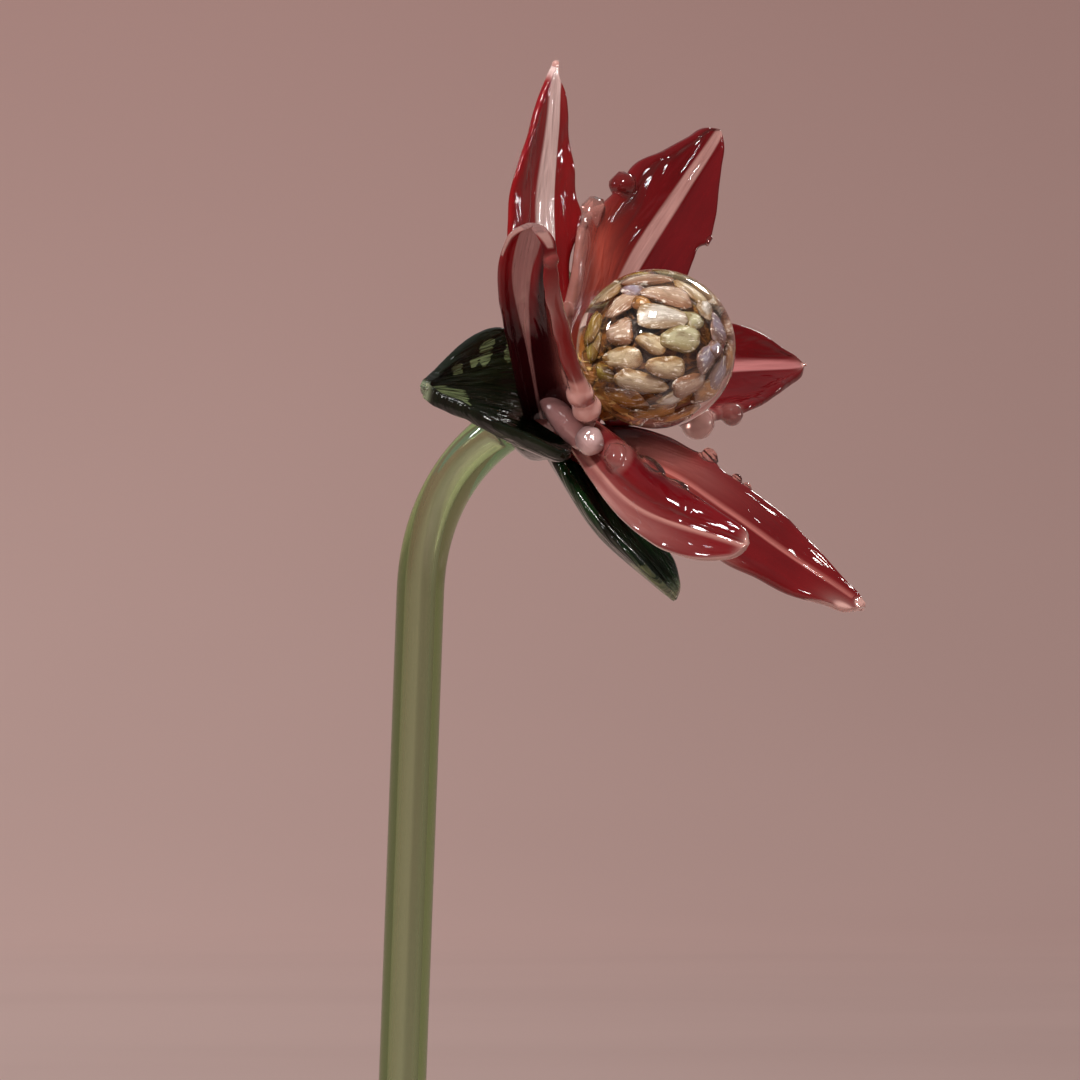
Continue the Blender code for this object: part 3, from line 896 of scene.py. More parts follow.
@dataclass(frozen=True)
class Leaf:
    """A drawn-out blob of glass, a petal or a sepal. Millimetres, degrees, and radians for cups.

    Root and tip are an azimuth, a reach from the flower's axis and a rise along it. Left and right are the
    half widths, seen from inside the flower with the tip up, and in each pair the left edge comes first.
    Stations run from 0 at the root to 1 at the tip.
    """

    name: str
    finish: PetalGlass | SepalGlass
    slot: str
    root: Triple
    tip: Triple
    left: Stations
    right: Stations
    bow: Stations = LEVEL
    sway: Stations = LEVEL
    roll: Stations = LEVEL
    cups: tuple[float, float] = (0.6, 0.6)
    pitch: tuple[Stations, Stations] = (((0, 8), (1, 8)), ((0, 8), (1, 8)))
    thick: Stations = ((0, 1.5), (0.5, 1.3), (0.85, 1.0), (1, 0.7))
    rim: tuple[float, float] = (0.5, 0.5)
    border: tuple[Stations, Stations] = (LEVEL, LEVEL)
    fold: float = 0.7
    wave: float = 0.8
    seed: float = 0.0
    drops: tuple[Drop, ...] = ()
    clears: tuple[Spot, ...] = ()
    milks: tuple[Spot, ...] = ()
    warms: tuple[Spot, ...] = ()
    # Patches of painted shade.
    shade_spots: tuple[Spot, ...] = ()
    around: int = 88
    steps: int = 170
    squareness: float = 0.6
    edge_drop: float = 0.9
    rim_lumps: float = 0.3
    knead: float = 0.07
    knead_size: float = 1.6
    row_steps: int = 400
    crowding: float = 2.5
    crowd_reach: float = 0.035

    def spine(self, along: float) -> Vector:
        """A point of the midrib in millimetres from the flower's base, from 0 at the root to 1 at the tip."""
        root, tip = FLOWER.spot(self.root), FLOWER.spot(self.tip)
        chord = (tip - root).normalized()
        middle = (self.root[0] + self.tip[0]) / 2
        outward = FLOWER.radial(middle)
        outward = (outward - chord * outward.dot(chord)).normalized()
        bowed = root.lerp(tip, along) + outward * read(self.bow, along)
        return bowed + FLOWER.tangential(middle) * read(self.sway, along)

    def facing(self, along: float) -> tuple[Vector, Vector]:
        """The leaf's side and inward directions at a place along its midrib."""
        step = 0.002
        tangent = self.spine(min(1, along + step)) - self.spine(max(0, along - step))
        tangent.normalize()
        side = FLOWER.tangential(self.root[0] + (self.tip[0] - self.root[0]) * along)
        side = (side - tangent * side.dot(tangent)).normalized()
        outward = tangent.cross(side)
        roll = radians(read(self.roll, along))
        return side * cos(roll) + outward * sin(roll), side * sin(roll) - outward * cos(roll)

    def ring(self, along: float) -> Ring:
        """Works out the cross-section at a place along the midrib."""
        side, inward = self.facing(along)
        halves = read(self.left, along), read(self.right, along)
        pitch = -radians(read(self.pitch[0], along)), radians(read(self.pitch[1], along))
        return Ring(along, self.spine(along), side, inward, halves, pitch, read(self.thick, along))

    @cached_property
    def length(self) -> float:
        """From root to tip, in millimetres."""
        return (self.spine(1) - self.spine(0)).length

    def cloud(self, x: float, y: float, layer: float = 0) -> float:
        """Soft unevenness from -1 to 1, of the leaf's own."""
        return noise.noise(Vector((x, y, self.seed + layer)))

    def skin(self, ring: Ring, across: float, through: float) -> tuple[Vector, float, float]:
        """A point of the leaf's skin, before its drops.

        Args:
            ring: The cross-section that it lies on.
            across: From -1 at the left edge to 1 at the right.
            through: From -1 outside to 1 inside.

        Returns:
            The point in metres, its distance from the midrib and its distance from the edge in millimetres.
        """
        along, reach = ring.along, abs(across)
        hand = 0 if across < 0 else 1
        half, cup = ring.halves[hand], self.cups[hand]
        for drop in self.drops:
            if drop.across * across > 0 and abs(drop.across) > self.edge_drop:
                span = (along - drop.along) * self.length / (0.85 * drop.radius * drop.long)
                half += (drop.out + 0.3 * drop.radius) * exp(-span * span) * ease(0.3, 1, reach)
        bend = cup * across
        flat = Vector((half * sin(bend) / cup, half * (1 - cos(bend)) / cup))
        pitch = ring.pitch[hand] * ease(0, 0.16, reach)
        width = flat.x * cos(pitch) - flat.y * sin(pitch)
        depth = flat.x * sin(pitch) + flat.y * cos(pitch)
        bend += pitch
        rim = ease(0.62, 0.9, reach) * self.rim[hand] * (1 + self.rim_lumps * self.cloud(along * 14, across))
        thick = (ring.thick + rim) * through
        aside = half * across
        waves = self.fold * self.cloud(aside * 0.13, along * self.length * 0.045)
        waves += self.wave * reach * reach * self.cloud(across * 0.8, along * self.length * 0.11, 9)
        waves *= ease(1.0, 0.9, along)
        spot = ring.spot + ring.side * (width - sin(bend) * thick)
        spot += ring.inward * (depth + cos(bend) * thick + waves)
        return FLOWER.base + spot * MM, aside, half - abs(aside)

    @staticmethod
    def tint(spots: tuple[Spot, ...], along: float, aside: float) -> float:
        """The tint that patches give a place."""
        total = 0.0
        for spot in spots:
            far = ((along - spot.along) / spot.long) ** 2 + ((aside - spot.aside) / spot.wide) ** 2
            total += spot.share * exp(-far)
        return min(1.0, total)

    @cached_property
    def places(self) -> tuple[tuple[Drop, Vector, Matrix], ...]:
        """Each drop with its middle in metres and its side, inward and forward directions."""
        found = []
        for drop in self.drops:
            ring = self.ring(max(0, drop.along))
            forward = ring.side.cross(ring.inward)
            if forward.dot(self.spine(1) - self.spine(0)) < 0:
                forward = -forward
            spot = self.skin(ring, drop.across, 0)[0]
            shift = ring.inward * drop.lift + forward * min(0, drop.along) * self.length
            found.append((drop, spot + shift * MM, Matrix((ring.side, ring.inward, forward))))
        return tuple(found)

    def melt(self, spot: Vector) -> tuple[Vector, float, float]:
        """Swells the leaf's skin over its drops.

        Args:
            spot: A point of the skin before the drops are put on.

        Returns:
            The point on the drops, and how clear and how milky they make it.
        """
        clear = milk = 0.0
        for drop, middle, turned in self.places:
            off = turned @ (spot - middle)
            off.z /= drop.long
            far = off.length / (drop.radius * MM)
            if 0.001 < far < 3:
                lumps = noise.noise(off / (self.knead_size * MM) + Vector((self.seed, drop.along * 9, 0)))
                off *= (1 + self.knead * lumps * ease(2, 1, far)) * (1 + far**-5) ** 0.2
                off.z *= drop.long
                spot = middle + turned.transposed() @ off
                share = ease(1.7, 1.0, far)
                clear = max(clear, drop.clear * share)
                milk = max(milk, drop.milk * share)
        return spot, clear, milk

    @cached_property
    def rows(self) -> Stations:
        """Where the rings lie along the leaf: closer together over its drops."""
        marks = [0.0]
        for i in range(self.row_steps):
            offs = [(i + 0.5) / self.row_steps - drop.along for drop in self.drops]
            crowd = sum(self.crowding * exp(-((off / self.crowd_reach) ** 2)) for off in offs)
            marks.append(marks[-1] + 1 + crowd)
        return tuple((mark / marks[-1], i / self.row_steps) for i, mark in enumerate(marks))

    def blunt(self, share: float) -> float:
        """A share of a round's half width, from -1 to 1, pushed out so that the round is nearly square."""
        return abs(share) ** self.squareness * (1 if share > 0 else -1)

    def build(self) -> bpy.types.Object:
        """Draws out a ball whose poles become the leaf's root and tip, and dresses it.

        Returns:
            The piece.
        """
        shape = ball(1, self.around, self.steps)
        layers = [shape.verts.layers.float.new(name) for name in LEAF_LAYERS]
        rings: dict[float, Ring] = {}
        for vert in shape.verts:
            flat = Vector((vert.co.x, vert.co.y)).length
            turned = atan2(vert.co.y, vert.co.x)
            pole = flat < 0.0001
            across, through = (0.0 if pole else self.blunt(share) for share in (cos(turned), sin(turned)))
            along = round(glide(self.rows, atan2(flat, vert.co.z) / pi), 6)
            if along not in rings:
                rings[along] = self.ring(along)
            spot, aside, inset = self.skin(rings[along], across, through)
            vert.co, beaded, milky = self.melt(spot)
            border = read(self.border[0 if aside < 0 else 1], along)
            pale = ease(border, 0.0, inset) if border > 0.05 else 0.0
            # The dark layer carries painted shade.
            clear, warm, dark, milk = (
                self.tint(spots, along, aside) for spots in (self.clears, self.warms, self.shade_spots, self.milks)
            )
            values = (along, aside, max(0.6 * pale, clear, beaded), warm, dark, max(milky, 0.9 * pale, milk))
            if isinstance(self.finish, PetalGlass):
                values += self.finish.stripe_place(along, aside, min(1, 3 * max(beaded, milky)))
            for layer, value in zip(layers, values):
                vert[layer] = value
        face_out(shape)
        return add_piece(f"{self.name}_blown", shape, self.finish.dress(self.name), self.name)


@dataclass(frozen=True)
class Corolla:
    """The six petals. The second, fourth and sixth are set just behind the others."""

    slot: str = "petal_glass"

    def petals(self) -> tuple[Leaf, ...]:
        """The petals' sizes and finishes."""
        return self.first(), self.second(), self.third(), self.fourth(), self.fifth(), self.sixth()

    def first(self) -> Leaf:
        """The upright petal, with the broad pale stripe."""
        glass = PetalGlass(
            stripe_at=((0, -0.5), (0.5, -0.6), (0.8, 0.2), (1, 0)),
            stripe_half=((0, 3.4), (0.4, 4.0), (0.75, 3.0), (0.9, 2.2), (1, 1.5)),
            soft=(0.8, 0.25), stripe=paint(220, 194, 190), deep=paint(98, 8, 12), bright=paint(134, 18, 22),
        )
        return Leaf(
            "petal_1", glass, self.slot, (5, 10, 5), (7, 75, 45),
            left=(
                (0, 6), (0.1, 10), (0.25, 15.5), (0.4, 17.6), (0.5, 17.3), (0.65, 14.5), (0.8, 9.5),
                (0.9, 4.4), (0.96, 1.5), (1, 0),
            ),
            right=(
                (0, 6), (0.2, 7.5), (0.35, 8.8), (0.42, 11), (0.49, 12.9), (0.55, 11.6), (0.65, 10),
                (0.8, 6.8), (0.9, 4.0), (0.96, 1.5), (1, 0),
            ),
            bow=((0, 0), (0.5, 3), (1, 0)), sway=((0, 0), (0.94, 0), (1, 1.2)), roll=((0, -14), (1, -14)),
            cups=(0.3, 0.4), pitch=(LEVEL, LEVEL), rim=(0.25, 0.35), seed=1.0,
            drops=(Drop(0.995, 0, 0.8, clear=0.3, milk=0.8),),
            milks=(Spot(1.0, 0, 0.03, 6, 1.0),),
        )

    def second(self) -> Leaf:
        """The long upper right petal, its inner edge curled and beaded."""
        glass = PetalGlass(
            stripe_half=((0, 2.6), (0.5, 2.2), (0.8, 1.7), (1, 1.2)), soft=(0.5, 0.4),
            stripe=paint(176, 132, 126), opal=paint(168, 88, 76), pearl=paint(190, 132, 122),
            warm=paint(176, 72, 56),
        )
        return Leaf(
            "petal_2", glass, self.slot, (58, 10, 0.3), (62.5, 85, 47),
            left=(
                (0, 6), (0.1, 14), (0.2, 22.4), (0.3, 27.4), (0.36, 26.4), (0.44, 21), (0.5, 17.6),
                (0.56, 15.8), (0.62, 14.4), (0.67, 15), (0.72, 14), (0.8, 10.2), (0.9, 6.4), (0.96, 4.2),
                (1, 0),
            ),
            right=(
                (0, 6), (0.2, 12), (0.4, 14.9), (0.5, 14.6), (0.6, 13.2), (0.64, 12.4), (0.68, 13.8),
                (0.75, 11.9), (0.8, 9.9), (0.9, 6), (0.96, 3.6), (1, 0),
            ),
            sway=((0, 0), (0.5, -1), (1, 0)), cups=(0.2, 0.5), seed=2.0,
            pitch=(((0, 28), (0.3, 22), (0.5, 0), (1, -6)), ((0, 8), (1, 8))), rim=(0.8, 0.4),
            border=(((0, 7), (0.2, 10), (0.36, 8), (0.46, 3), (0.5, 0), (1, 0)), LEVEL),
            drops=(
                Drop(0.61, -0.98, 3.4, out=-0.2, clear=0.35), Drop(0.46, -0.98, 2.9, milk=0.35, long=1.6),
                Drop(0.36, -1, 2.0, out=-0.5, clear=0.9, milk=0.5), Drop(0.13, -1, 2.0, clear=0.6, milk=0.5),
                Drop(0.68, 1, 1.4, clear=0.4),
            ),
            warms=(Spot(0.12, -8, 0.24, 9, 0.8), Spot(0.3, -16, 0.16, 8, 1.0)),
            milks=(Spot(0.16, -18, 0.18, 9, 0.8), Spot(0.36, -24, 0.07, 3, 0.5)),
        )

    def third(self) -> Leaf:
        """The short petal that points right."""
        glass = PetalGlass(
            stripe_half=((0, 2.6), (0.6, 2.0), (0.9, 1.5), (1, 0.8)), soft=(0.9, 0.4),
            stripe=paint(180, 112, 112),
        )
        return Leaf(
            "petal_3", glass, self.slot, (115, 10, 5), (110, 67.4, 38),
            left=((0, 6), (0.3, 11.3), (0.55, 13), (0.7, 11.6), (0.8, 9), (0.9, 5), (0.96, 2.8), (1, 0)),
            right=(
                (0, 6), (0.1, 10), (0.2, 14), (0.3, 18), (0.4, 18.4), (0.5, 18.6), (0.6, 17.4), (0.7, 14.8),
                (0.8, 10.8), (0.9, 6.2), (0.96, 3.3), (1, 0),
            ),
            sway=((0, 0), (0.5, -4), (1, 0)), rim=(0.5, 0.8), seed=3.0,
            drops=(
                Drop(0.49, 0.98, 3.0, out=-0.6, clear=0.3, milk=0.5),
                Drop(0.3, 0.97, 4.3, out=-0.8, clear=0.7, milk=1.1), Drop(1.0, 0, 1.3, clear=0.3, milk=1.1),
            ),
            # The milk spot at along 0.46 on the left edge is a painted highlight.
            milks=(Spot(1.0, 0, 0.05, 3, 1.0), Spot(0.2, 16, 0.12, 6, 0.9), Spot(0.46, -12, 0.05, 3.4, 1.0)),
        )

    def fourth(self) -> Leaf:
        """The long lower right petal, seen along its hollow."""
        glass = PetalGlass(
            stripe_half=((0, 0.8), (0.5, 0.6), (1, 0.4)), soft=(0.9, 0.4), stripe=paint(170, 100, 94),
            bright=paint(112, 16, 20),
        )
        return Leaf(
            "petal_4", glass, self.slot, (178, 10, 0.3), (184, 82.5, 46),
            left=(
                (0, 9), (0.1, 12.4), (0.2, 12.4), (0.3, 11.2), (0.4, 10), (0.5, 9.8), (0.6, 9.4), (0.7, 8),
                (0.8, 5.6), (0.9, 3.2), (0.96, 2), (1, 0),
            ),
            right=(
                (0, 6), (0.2, 11), (0.4, 12.6), (0.6, 12.4), (0.7, 10.6), (0.8, 8.8), (0.9, 6), (0.96, 4.2),
                (1, 0),
            ),
            bow=((0, 0), (0.3, -4.5), (0.5, -3.5), (0.7, -1.8), (1, 0)), roll=((0, 20), (0.4, 32), (1, 48)),
            cups=(-0.3, -0.2), rim=(0.5, 0.8), seed=4.0,
            border=(LEVEL, ((0, 0), (0.84, 0), (0.92, 1.6), (1, 2))),
            drops=(
                Drop(0.35, -1, 2.5, out=1, milk=0.3), Drop(0.45, -1, 1.7, out=0.6, milk=0.3),
                Drop(0.49, -1, 1.4, out=0.4, milk=0.3), Drop(1.0, 0, 1.6, clear=0.5, milk=1.1, long=1.6),
            ),
            milks=(Spot(0.97, 4, 0.07, 2.4, 1.2), Spot(0.25, -4, 0.2, 5, 0.5), Spot(0.55, 12, 0.1, 1.6, 0.6)),
            # The dark spot is painted shade at the root, beside the dome.
            warms=(Spot(0.2, 3, 0.14, 4, 0.4),), shade_spots=(Spot(0.06, -6, 0.2, 9, 0.9),),
        )

    def fifth(self) -> Leaf:
        """The narrow folded petal in front, below."""
        glass = PetalGlass(
            stripe_at=((0, 2.2), (0.5, 2.9), (1, 0.8)), stripe_half=((0, 0.9), (0.5, 0.45), (1, 0.5)),
            soft=(0.25, 0.8), stripe=paint(172, 120, 112), bright=paint(112, 10, 18), opal=paint(134, 84, 80),
        )
        return Leaf(
            "petal_5", glass, self.slot, (236, 10, 5), (224.5, 75, 47.5),
            left=(
                (0, 5), (0.1, 6), (0.3, 8), (0.5, 8.2), (0.7, 7), (0.85, 4.8), (0.95, 3.4), (0.98, 2.4),
                (1, 0),
            ),
            right=(
                (0, 4), (0.1, 4.5), (0.3, 6), (0.5, 7.6), (0.6, 8.6), (0.7, 9.4), (0.85, 8.4), (0.95, 5.6),
                (0.98, 3.8), (1, 0),
            ),
            bow=((0, 0), (0.4, 5), (0.6, 5), (1, 0)), roll=((0, 85), (1, 95)), cups=(-1.5, 0.3), seed=5.0,
            pitch=(((0, 50), (1, 45)), LEVEL), rim=(0.5, 0.3),
            border=(((0, 0), (0.9, 0), (1, 1.4)), ((0, 0), (0.75, 0.2), (0.9, 1.2), (1, 1.4))),
            drops=(
                Drop(0.3, -0.5, 3.0, lift=1.0, clear=0, milk=0.4, long=1.5),
                Drop(0.6, -0.95, 1.4, clear=0.8, milk=0.3, long=3),
                Drop(0.44, -0.98, 1.8, clear=0.9, milk=0.3, long=3),
            ),
            # The dark spot is painted shade on the upper fold, which curls away from the light.
            clears=(Spot(0.0, 0, 0.12, 12, 0.4),), shade_spots=(Spot(0.45, -7.5, 0.3, 2.6, 0.7),),
            milks=(Spot(0.34, 7, 0.36, 4.6, 0.78), Spot(0.0, 0, 0.15, 12, 0.5), Spot(1.0, 0, 0.03, 6, 1.0)),
        )

    def sixth(self) -> Leaf:
        """The petal to the left, folded into a channel and darkened by painted shade."""
        glass = PetalGlass(
            stripe_at=((0, 0), (0.5, 0), (0.8, 0.8), (1, 0)),
            stripe_half=((0, 0.3), (0.4, 0.5), (0.6, 1.4), (0.8, 2.6), (0.95, 3.2), (1, 2.6)),
            soft=(0.4, 0.3), stripe=paint(150, 112, 110), stripe_clear=0.4, bright=paint(140, 8, 16),
            shine=0.13,
        )
        return Leaf(
            "petal_6", glass, self.slot, (272, 10, 0.3), (305, 72, 42),
            left=(
                (0, 5), (0.05, 12), (0.12, 17), (0.2, 17), (0.3, 16), (0.4, 15), (0.5, 13.5), (0.6, 12.6),
                (0.7, 11), (0.8, 9.4), (0.9, 7.4), (0.96, 5.4), (1, 0),
            ),
            right=(
                (0, 4.5), (0.2, 5), (0.4, 5.2), (0.5, 5.6), (0.7, 6.6), (0.8, 7), (0.9, 6.6), (0.96, 5),
                (1, 0),
            ),
            bow=((0, 0), (0.5, 2), (0.8, 0.8), (1, -4)), roll=((0, 50), (1, 60)), cups=(-1.1, -1.1), seed=6.0,
            border=(((0, 0), (0.93, 0), (1, 0.8)), ((0, 0), (0.85, 0), (1, 1.2))), rim=(1.8, 0.4), fold=0.3,
            drops=(
                Drop(0.17, -0.84, 3.6, lift=-0.8, clear=0.3, milk=1.2),
                Drop(0.25, -0.8, 3.3, lift=-1, clear=0.2, milk=0.7),
                Drop(0.09, -0.9, 2.4, lift=-0.6, clear=0.5, milk=0.9),
                Drop(0.9, -0.98, 1.9, out=-0.5, clear=0.2, milk=0.3),
            ),
            # Painted shade: the channel's hollow and the underside, which faces away from the light, are
            # darkened.
            shade_spots=(
                Spot(0.25, 5, 0.45, 6, 1.5), Spot(0.22, -5.5, 0.42, 5, 1.6), Spot(0.02, -7, 0.12, 9, 1.3),
                Spot(0.75, -5.4, 0.25, 1.4, 1.0),
            ),
            milks=(
                Spot(1.0, 0, 0.02, 9, 0.45), Spot(0.25, -15, 0.3, 3, 0.4), Spot(0.5, -10, 0.4, 2.2, 0.7),
                Spot(0.3, -14, 0.07, 5, 0.8),
            ),
        )

    def build(self) -> None:
        """Builds and dresses every petal."""
        for petal in self.petals():
            petal.build()


@dataclass(frozen=True)
class Calyx:
    """The three dark green sepals under the petals."""

    slot: str = "sepal_glass"

    def sepals(self) -> tuple[Leaf, ...]:
        """The sepals' sizes and finishes."""
        return self.first(), self.second(), self.third()

    def first(self) -> Leaf:
        """The broad sepal that stands out to the left."""
        return Leaf(
            "sepal_1", SepalGlass(), self.slot, (300, 10.5, -5), (300, 43, -12),
            left=(
                (0, 23.5), (0.1, 27.5), (0.2, 28), (0.35, 25), (0.5, 20), (0.65, 15.2), (0.8, 9.6),
                (0.9, 5.6), (0.96, 3.2), (1, 0),
            ),
            right=(
                (0, 13), (0.1, 17.5), (0.25, 19.2), (0.4, 18.2), (0.55, 15.5), (0.7, 11.4), (0.85, 6.2),
                (0.93, 3.6), (0.97, 2.4), (1, 0),
            ),
            cups=(0.8, 0.8), thick=((0, 1.6), (0.5, 1.2), (0.9, 1.2), (1, 1.2)), rim=(1.5, 0.9), fold=1.2,
            seed=11.0, clears=(Spot(1.0, 0, 0.025, 2, 1.0),),
            warms=(
                Spot(0.84, -0.4, 0.1, 1.8, 1.6), Spot(0.68, -1.6, 0.12, 2.6, 1.7),
                Spot(0.39, 13, 0.07, 4, 1.2), Spot(0.15, 15, 0.06, 4, 1.2), Spot(0.66, 7, 0.07, 1.8, 1.2),
                Spot(0.5, 9.5, 0.04, 1.4, 1.2),
            ),
        )

    def second(self) -> Leaf:
        """The long narrow sepal under the lower petals."""
        glass = SepalGlass(olive_share=0.2, green=paint(14, 40, 16))
        return Leaf(
            "sepal_2", glass, self.slot, (205, 10.5, -4.5), (201, 60, 10),
            left=((0, 8), (0.3, 9.2), (0.6, 10.4), (0.8, 8.8), (0.9, 6), (0.96, 3.4), (1, 0)),
            right=((0, 7.5), (0.2, 9.4), (0.4, 10), (0.6, 9.4), (0.8, 7.2), (0.9, 5), (0.96, 2.8), (1, 0)),
            bow=((0, 0), (0.5, 2.8), (1, 0)), roll=((0, 11), (1, 11)), cups=(0.9, 0.9), seed=12.0,
            clears=(Spot(1.0, 0, 0.06, 5, 1.0),), warms=(Spot(0.86, 4, 0.12, 3, 1.5),),
        )

    def third(self) -> Leaf:
        """The sepal behind, as wide on both sides."""
        half = ((0, 10), (0.3, 13.5), (0.5, 14), (0.7, 11), (0.85, 6.6), (0.95, 3), (1, 0))
        return Leaf(
            "sepal_3", SepalGlass(), self.slot, (50, 10.5, -4.5), (50, 45, 8), left=half, right=half,
            cups=(0.7, 0.7), seed=13.0, clears=(Spot(1.0, 0, 0.06, 3, 1.0),),
        )

    def build(self) -> None:
        """Builds and dresses every sepal."""
        for sepal in self.sepals():
            sepal.build()


# ---------------------------------------------------------------- the middle


@dataclass(frozen=True)
class Chip:
    """One chip laid over the front of the core. Degrees and millimetres.

    Turn goes clockwise from the top, off is the angle from straight ahead, and lean lifts its right end.
    """

    turn: float
    off: float
    long: float
    wide: float
    lean: float
    tint: Tint

    @property
    def outward(self) -> Vector:
        """From the core's middle to the chip."""
        turn, off = radians(self.turn), radians(self.off)
        return Vector((sin(off) * sin(turn), -cos(off), sin(off) * cos(turn)))


@dataclass(frozen=True)
class Middle:
    """The gather with its neck and bead, the clear dome, the core and the chips. Lengths in metres.

    The gather's outline is its radius at heights along the flower's axis, in millimetres. So are the chips'
    sizes, and the neck's and the bead's places, each an azimuth in degrees, a reach and a rise.
    """

    gather_outline: Stations = (
        (-12.0, 7.4), (-10.5, 8.4), (-7.0, 9.8), (-2.0, 9.8), (3.0, 9.6), (6.0, 9.2), (9.5, 7.4), (12.2, 6.4)
    )
    gather_lumps: float = 0.9 * MM
    neck: tuple[Triple, ...] = ((301.0, 13.8, 4.5), (260.3, 19.0, 8.2), (234.6, 22.4, 9.9))
    neck_radius: float = 3.4 * MM
    neck_glass: GatherGlass = GatherGlass(
        front=paint(196, 156, 152), behind=paint(174, 128, 126), clearness=0.12
    )
    bead: Triple = (242.2, 23.8, 12.4)
    bead_radius: float = 3.7 * MM
    bead_glass: GatherGlass = GatherGlass(
        front=paint(206, 178, 176), behind=paint(188, 156, 154), clearness=0.3
    )
    core_radius: float = 11.2 * MM
    core_neck: float = 8.6 * MM
    core_end: float = -19 * MM
    core_lumps: float = 0.07
    chip_orbit: float = 12.7 * MM
    chip_thick: float = 1.15
    chip_lumps: Stations = ((0.22, 1.1), (0.06, 2.9), (0.03, 7))
    chip_apart: float = radians(24)
    gather_slot: str = "gather_glass"
    layout: tuple[Chip, ...] = (
        Chip(10, 60, 5.4, 3, 0, Tint.ROSE), Chip(-40, 62, 4, 2.8, 45, Tint.ROSE),
        Chip(10, 32, 5.6, 3, 4, Tint.SILVER), Chip(54, 51, 2.6, 2.2, 20, Tint.MINT),
        Chip(74, 80, 3.4, 3.2, 0, Tint.VIOLET), Chip(-67, 41, 3.2, 2.8, 10, Tint.ROSE),
        Chip(-72, 83, 3.6, 2.8, 80, Tint.OCHRE), Chip(-89, 78, 3.6, 2.8, 85, Tint.OCHRE),
        Chip(-45, 8, 3.6, 2, -25, Tint.CREAM), Chip(69, 26, 4.8, 2.8, 2, Tint.MINT),
        Chip(89, 68, 2.8, 1.8, 10, Tint.VIOLET), Chip(100, 56, 4, 2.6, 25, Tint.VIOLET),
        Chip(-106, 37, 4.4, 2.4, 8, Tint.CREAM), Chip(156, 21, 4.8, 2.4, -12, Tint.CREAM),
        Chip(112, 84, 3.6, 2.8, 30, Tint.VIOLET), Chip(-117, 66, 2.6, 2, 0, Tint.OCHRE),
        Chip(-155, 40, 5.8, 2.6, -12, Tint.CREAM), Chip(138, 53, 4.2, 2.4, 4, Tint.ROSE),
        Chip(165, 58, 2.8, 1.6, 0, Tint.SILVER), Chip(51, 76, 3.2, 2, 70, Tint.SILVER),
        Chip(32, 82, 4, 2.2, -20, Tint.CREAM), Chip(-7, 90, 4.8, 2.4, 0, Tint.ROSE),
        Chip(162, 92, 4.4, 2.2, 0, Tint.AMBER), Chip(-146, 70, 6, 3, 10, Tint.AMBER),
        Chip(96, 100, 3.2, 2.8, 80, Tint.AMBER), Chip(-35, 96, 4.6, 2.4, 40, Tint.CREAM),
        Chip(-176, 78, 5.2, 2.4, 0, Tint.AMBER), Chip(130, 82, 4.4, 2.8, -35, Tint.AMBER),
    )

    def build(self) -> None:
        """Builds and dresses all of them."""
        low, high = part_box("dome")
        centre = (low + high) / 2
        self._gather()
        self._neck()
        self._bead()
        self._dome(centre, (high.y - low.y) / 2)
        self._core(centre)
        self._chips(centre)

    def _gather(self) -> None:
        """The lump that joins everything, a turned blob pulled about."""
        steps, around, lump_size = 26, 48, 6 * MM
        back, top = self.gather_outline[0][0], self.gather_outline[-1][0]
        rows = [back + (top - back) * i / steps for i in range(steps, -1, -1)]
        side = [(read(self.gather_outline, row) * MM, row * MM) for row in rows]
        shape = turn([(0, top * MM)] + side + [(0, back * MM)], around)
        ahead = shape.verts.layers.float.new("along")
        for vert in shape.verts:
            vert[ahead] = (vert.co.z / MM - back) / (top - back)
            swell = noise.noise(vert.co / lump_size) * self.gather_lumps
            vert.co += Vector((vert.co.x, vert.co.y, 0)).normalized() * swell
        move(shape, FLOWER.place(FLOWER.base))
        add_piece("gather_lump", shape, GatherGlass().dress("gather_lump"), "gather")

    def _neck(self) -> None:
        """The bent root of the folded petal, a tube of mauve glass laid over the gather."""
        start, middle, end = (FLOWER.base + FLOWER.spot(where) * MM for where in self.neck)
        steps = sides = 28
        places = [i / steps for i in range(steps + 1)]
        pull = middle * 2 - (start + end) / 2
        points = [start * (1 - t) ** 2 + pull * 2 * t * (1 - t) + end * t * t for t in places]
        radii = [self.neck_radius * (0.1 + 0.9 * abs(sin(pi * t)) ** 0.5) * (0.9 + 0.2 * t) for t in places]
        shape = sweep(points, radii, sides)
        add_piece("gather_neck", shape, self.neck_glass.dress("gather_neck"), "gather")

    def _bead(self) -> None:
        """The milky bead at the neck's end, not quite round."""
        lump_size, lumps = 3 * MM, 0.16
        shape = ball(self.bead_radius, 48, 32)
        for vert in shape.verts:
            vert.co *= 1 + lumps * noise.noise(vert.co / lump_size)
        move(shape, Matrix.Translation(FLOWER.base + FLOWER.spot(self.bead) * MM))
        add_piece("gather_bead", shape, self.bead_glass.dress("gather_bead"), "gather")

    def _dome(self, centre: Vector, radius: float) -> None:
        """The clear dome: a whole ball of glass, as the core and the chips are melted into it."""
        shape = ball(radius, 96, 64)
        move(shape, FLOWER.place(centre))
        piece = add_piece("dome_clear", shape, DomeGlass().dress(), "dome")
        piece.visible_shadow = False

    def _core(self, centre: Vector) -> None:
        """The amber core, with a neck down to the gather."""
        steps, around, lump_size, flare = 24, 48, 4 * MM, 1.15
        last = pi - asin(self.core_neck / self.core_radius)
        angles = [last * (i / steps) for i in range(steps + 1)]
        round_part = [(self.core_radius * sin(angle), self.core_radius * cos(angle)) for angle in angles]
        foot = [(self.core_neck * flare, self.core_end), (0, self.core_end - 0.2 * MM)]
        shape = turn(round_part + foot, around)
        for vert in shape.verts:
            vert.co *= 1 + self.core_lumps * noise.noise(vert.co / lump_size)
        move(shape, FLOWER.place(centre))
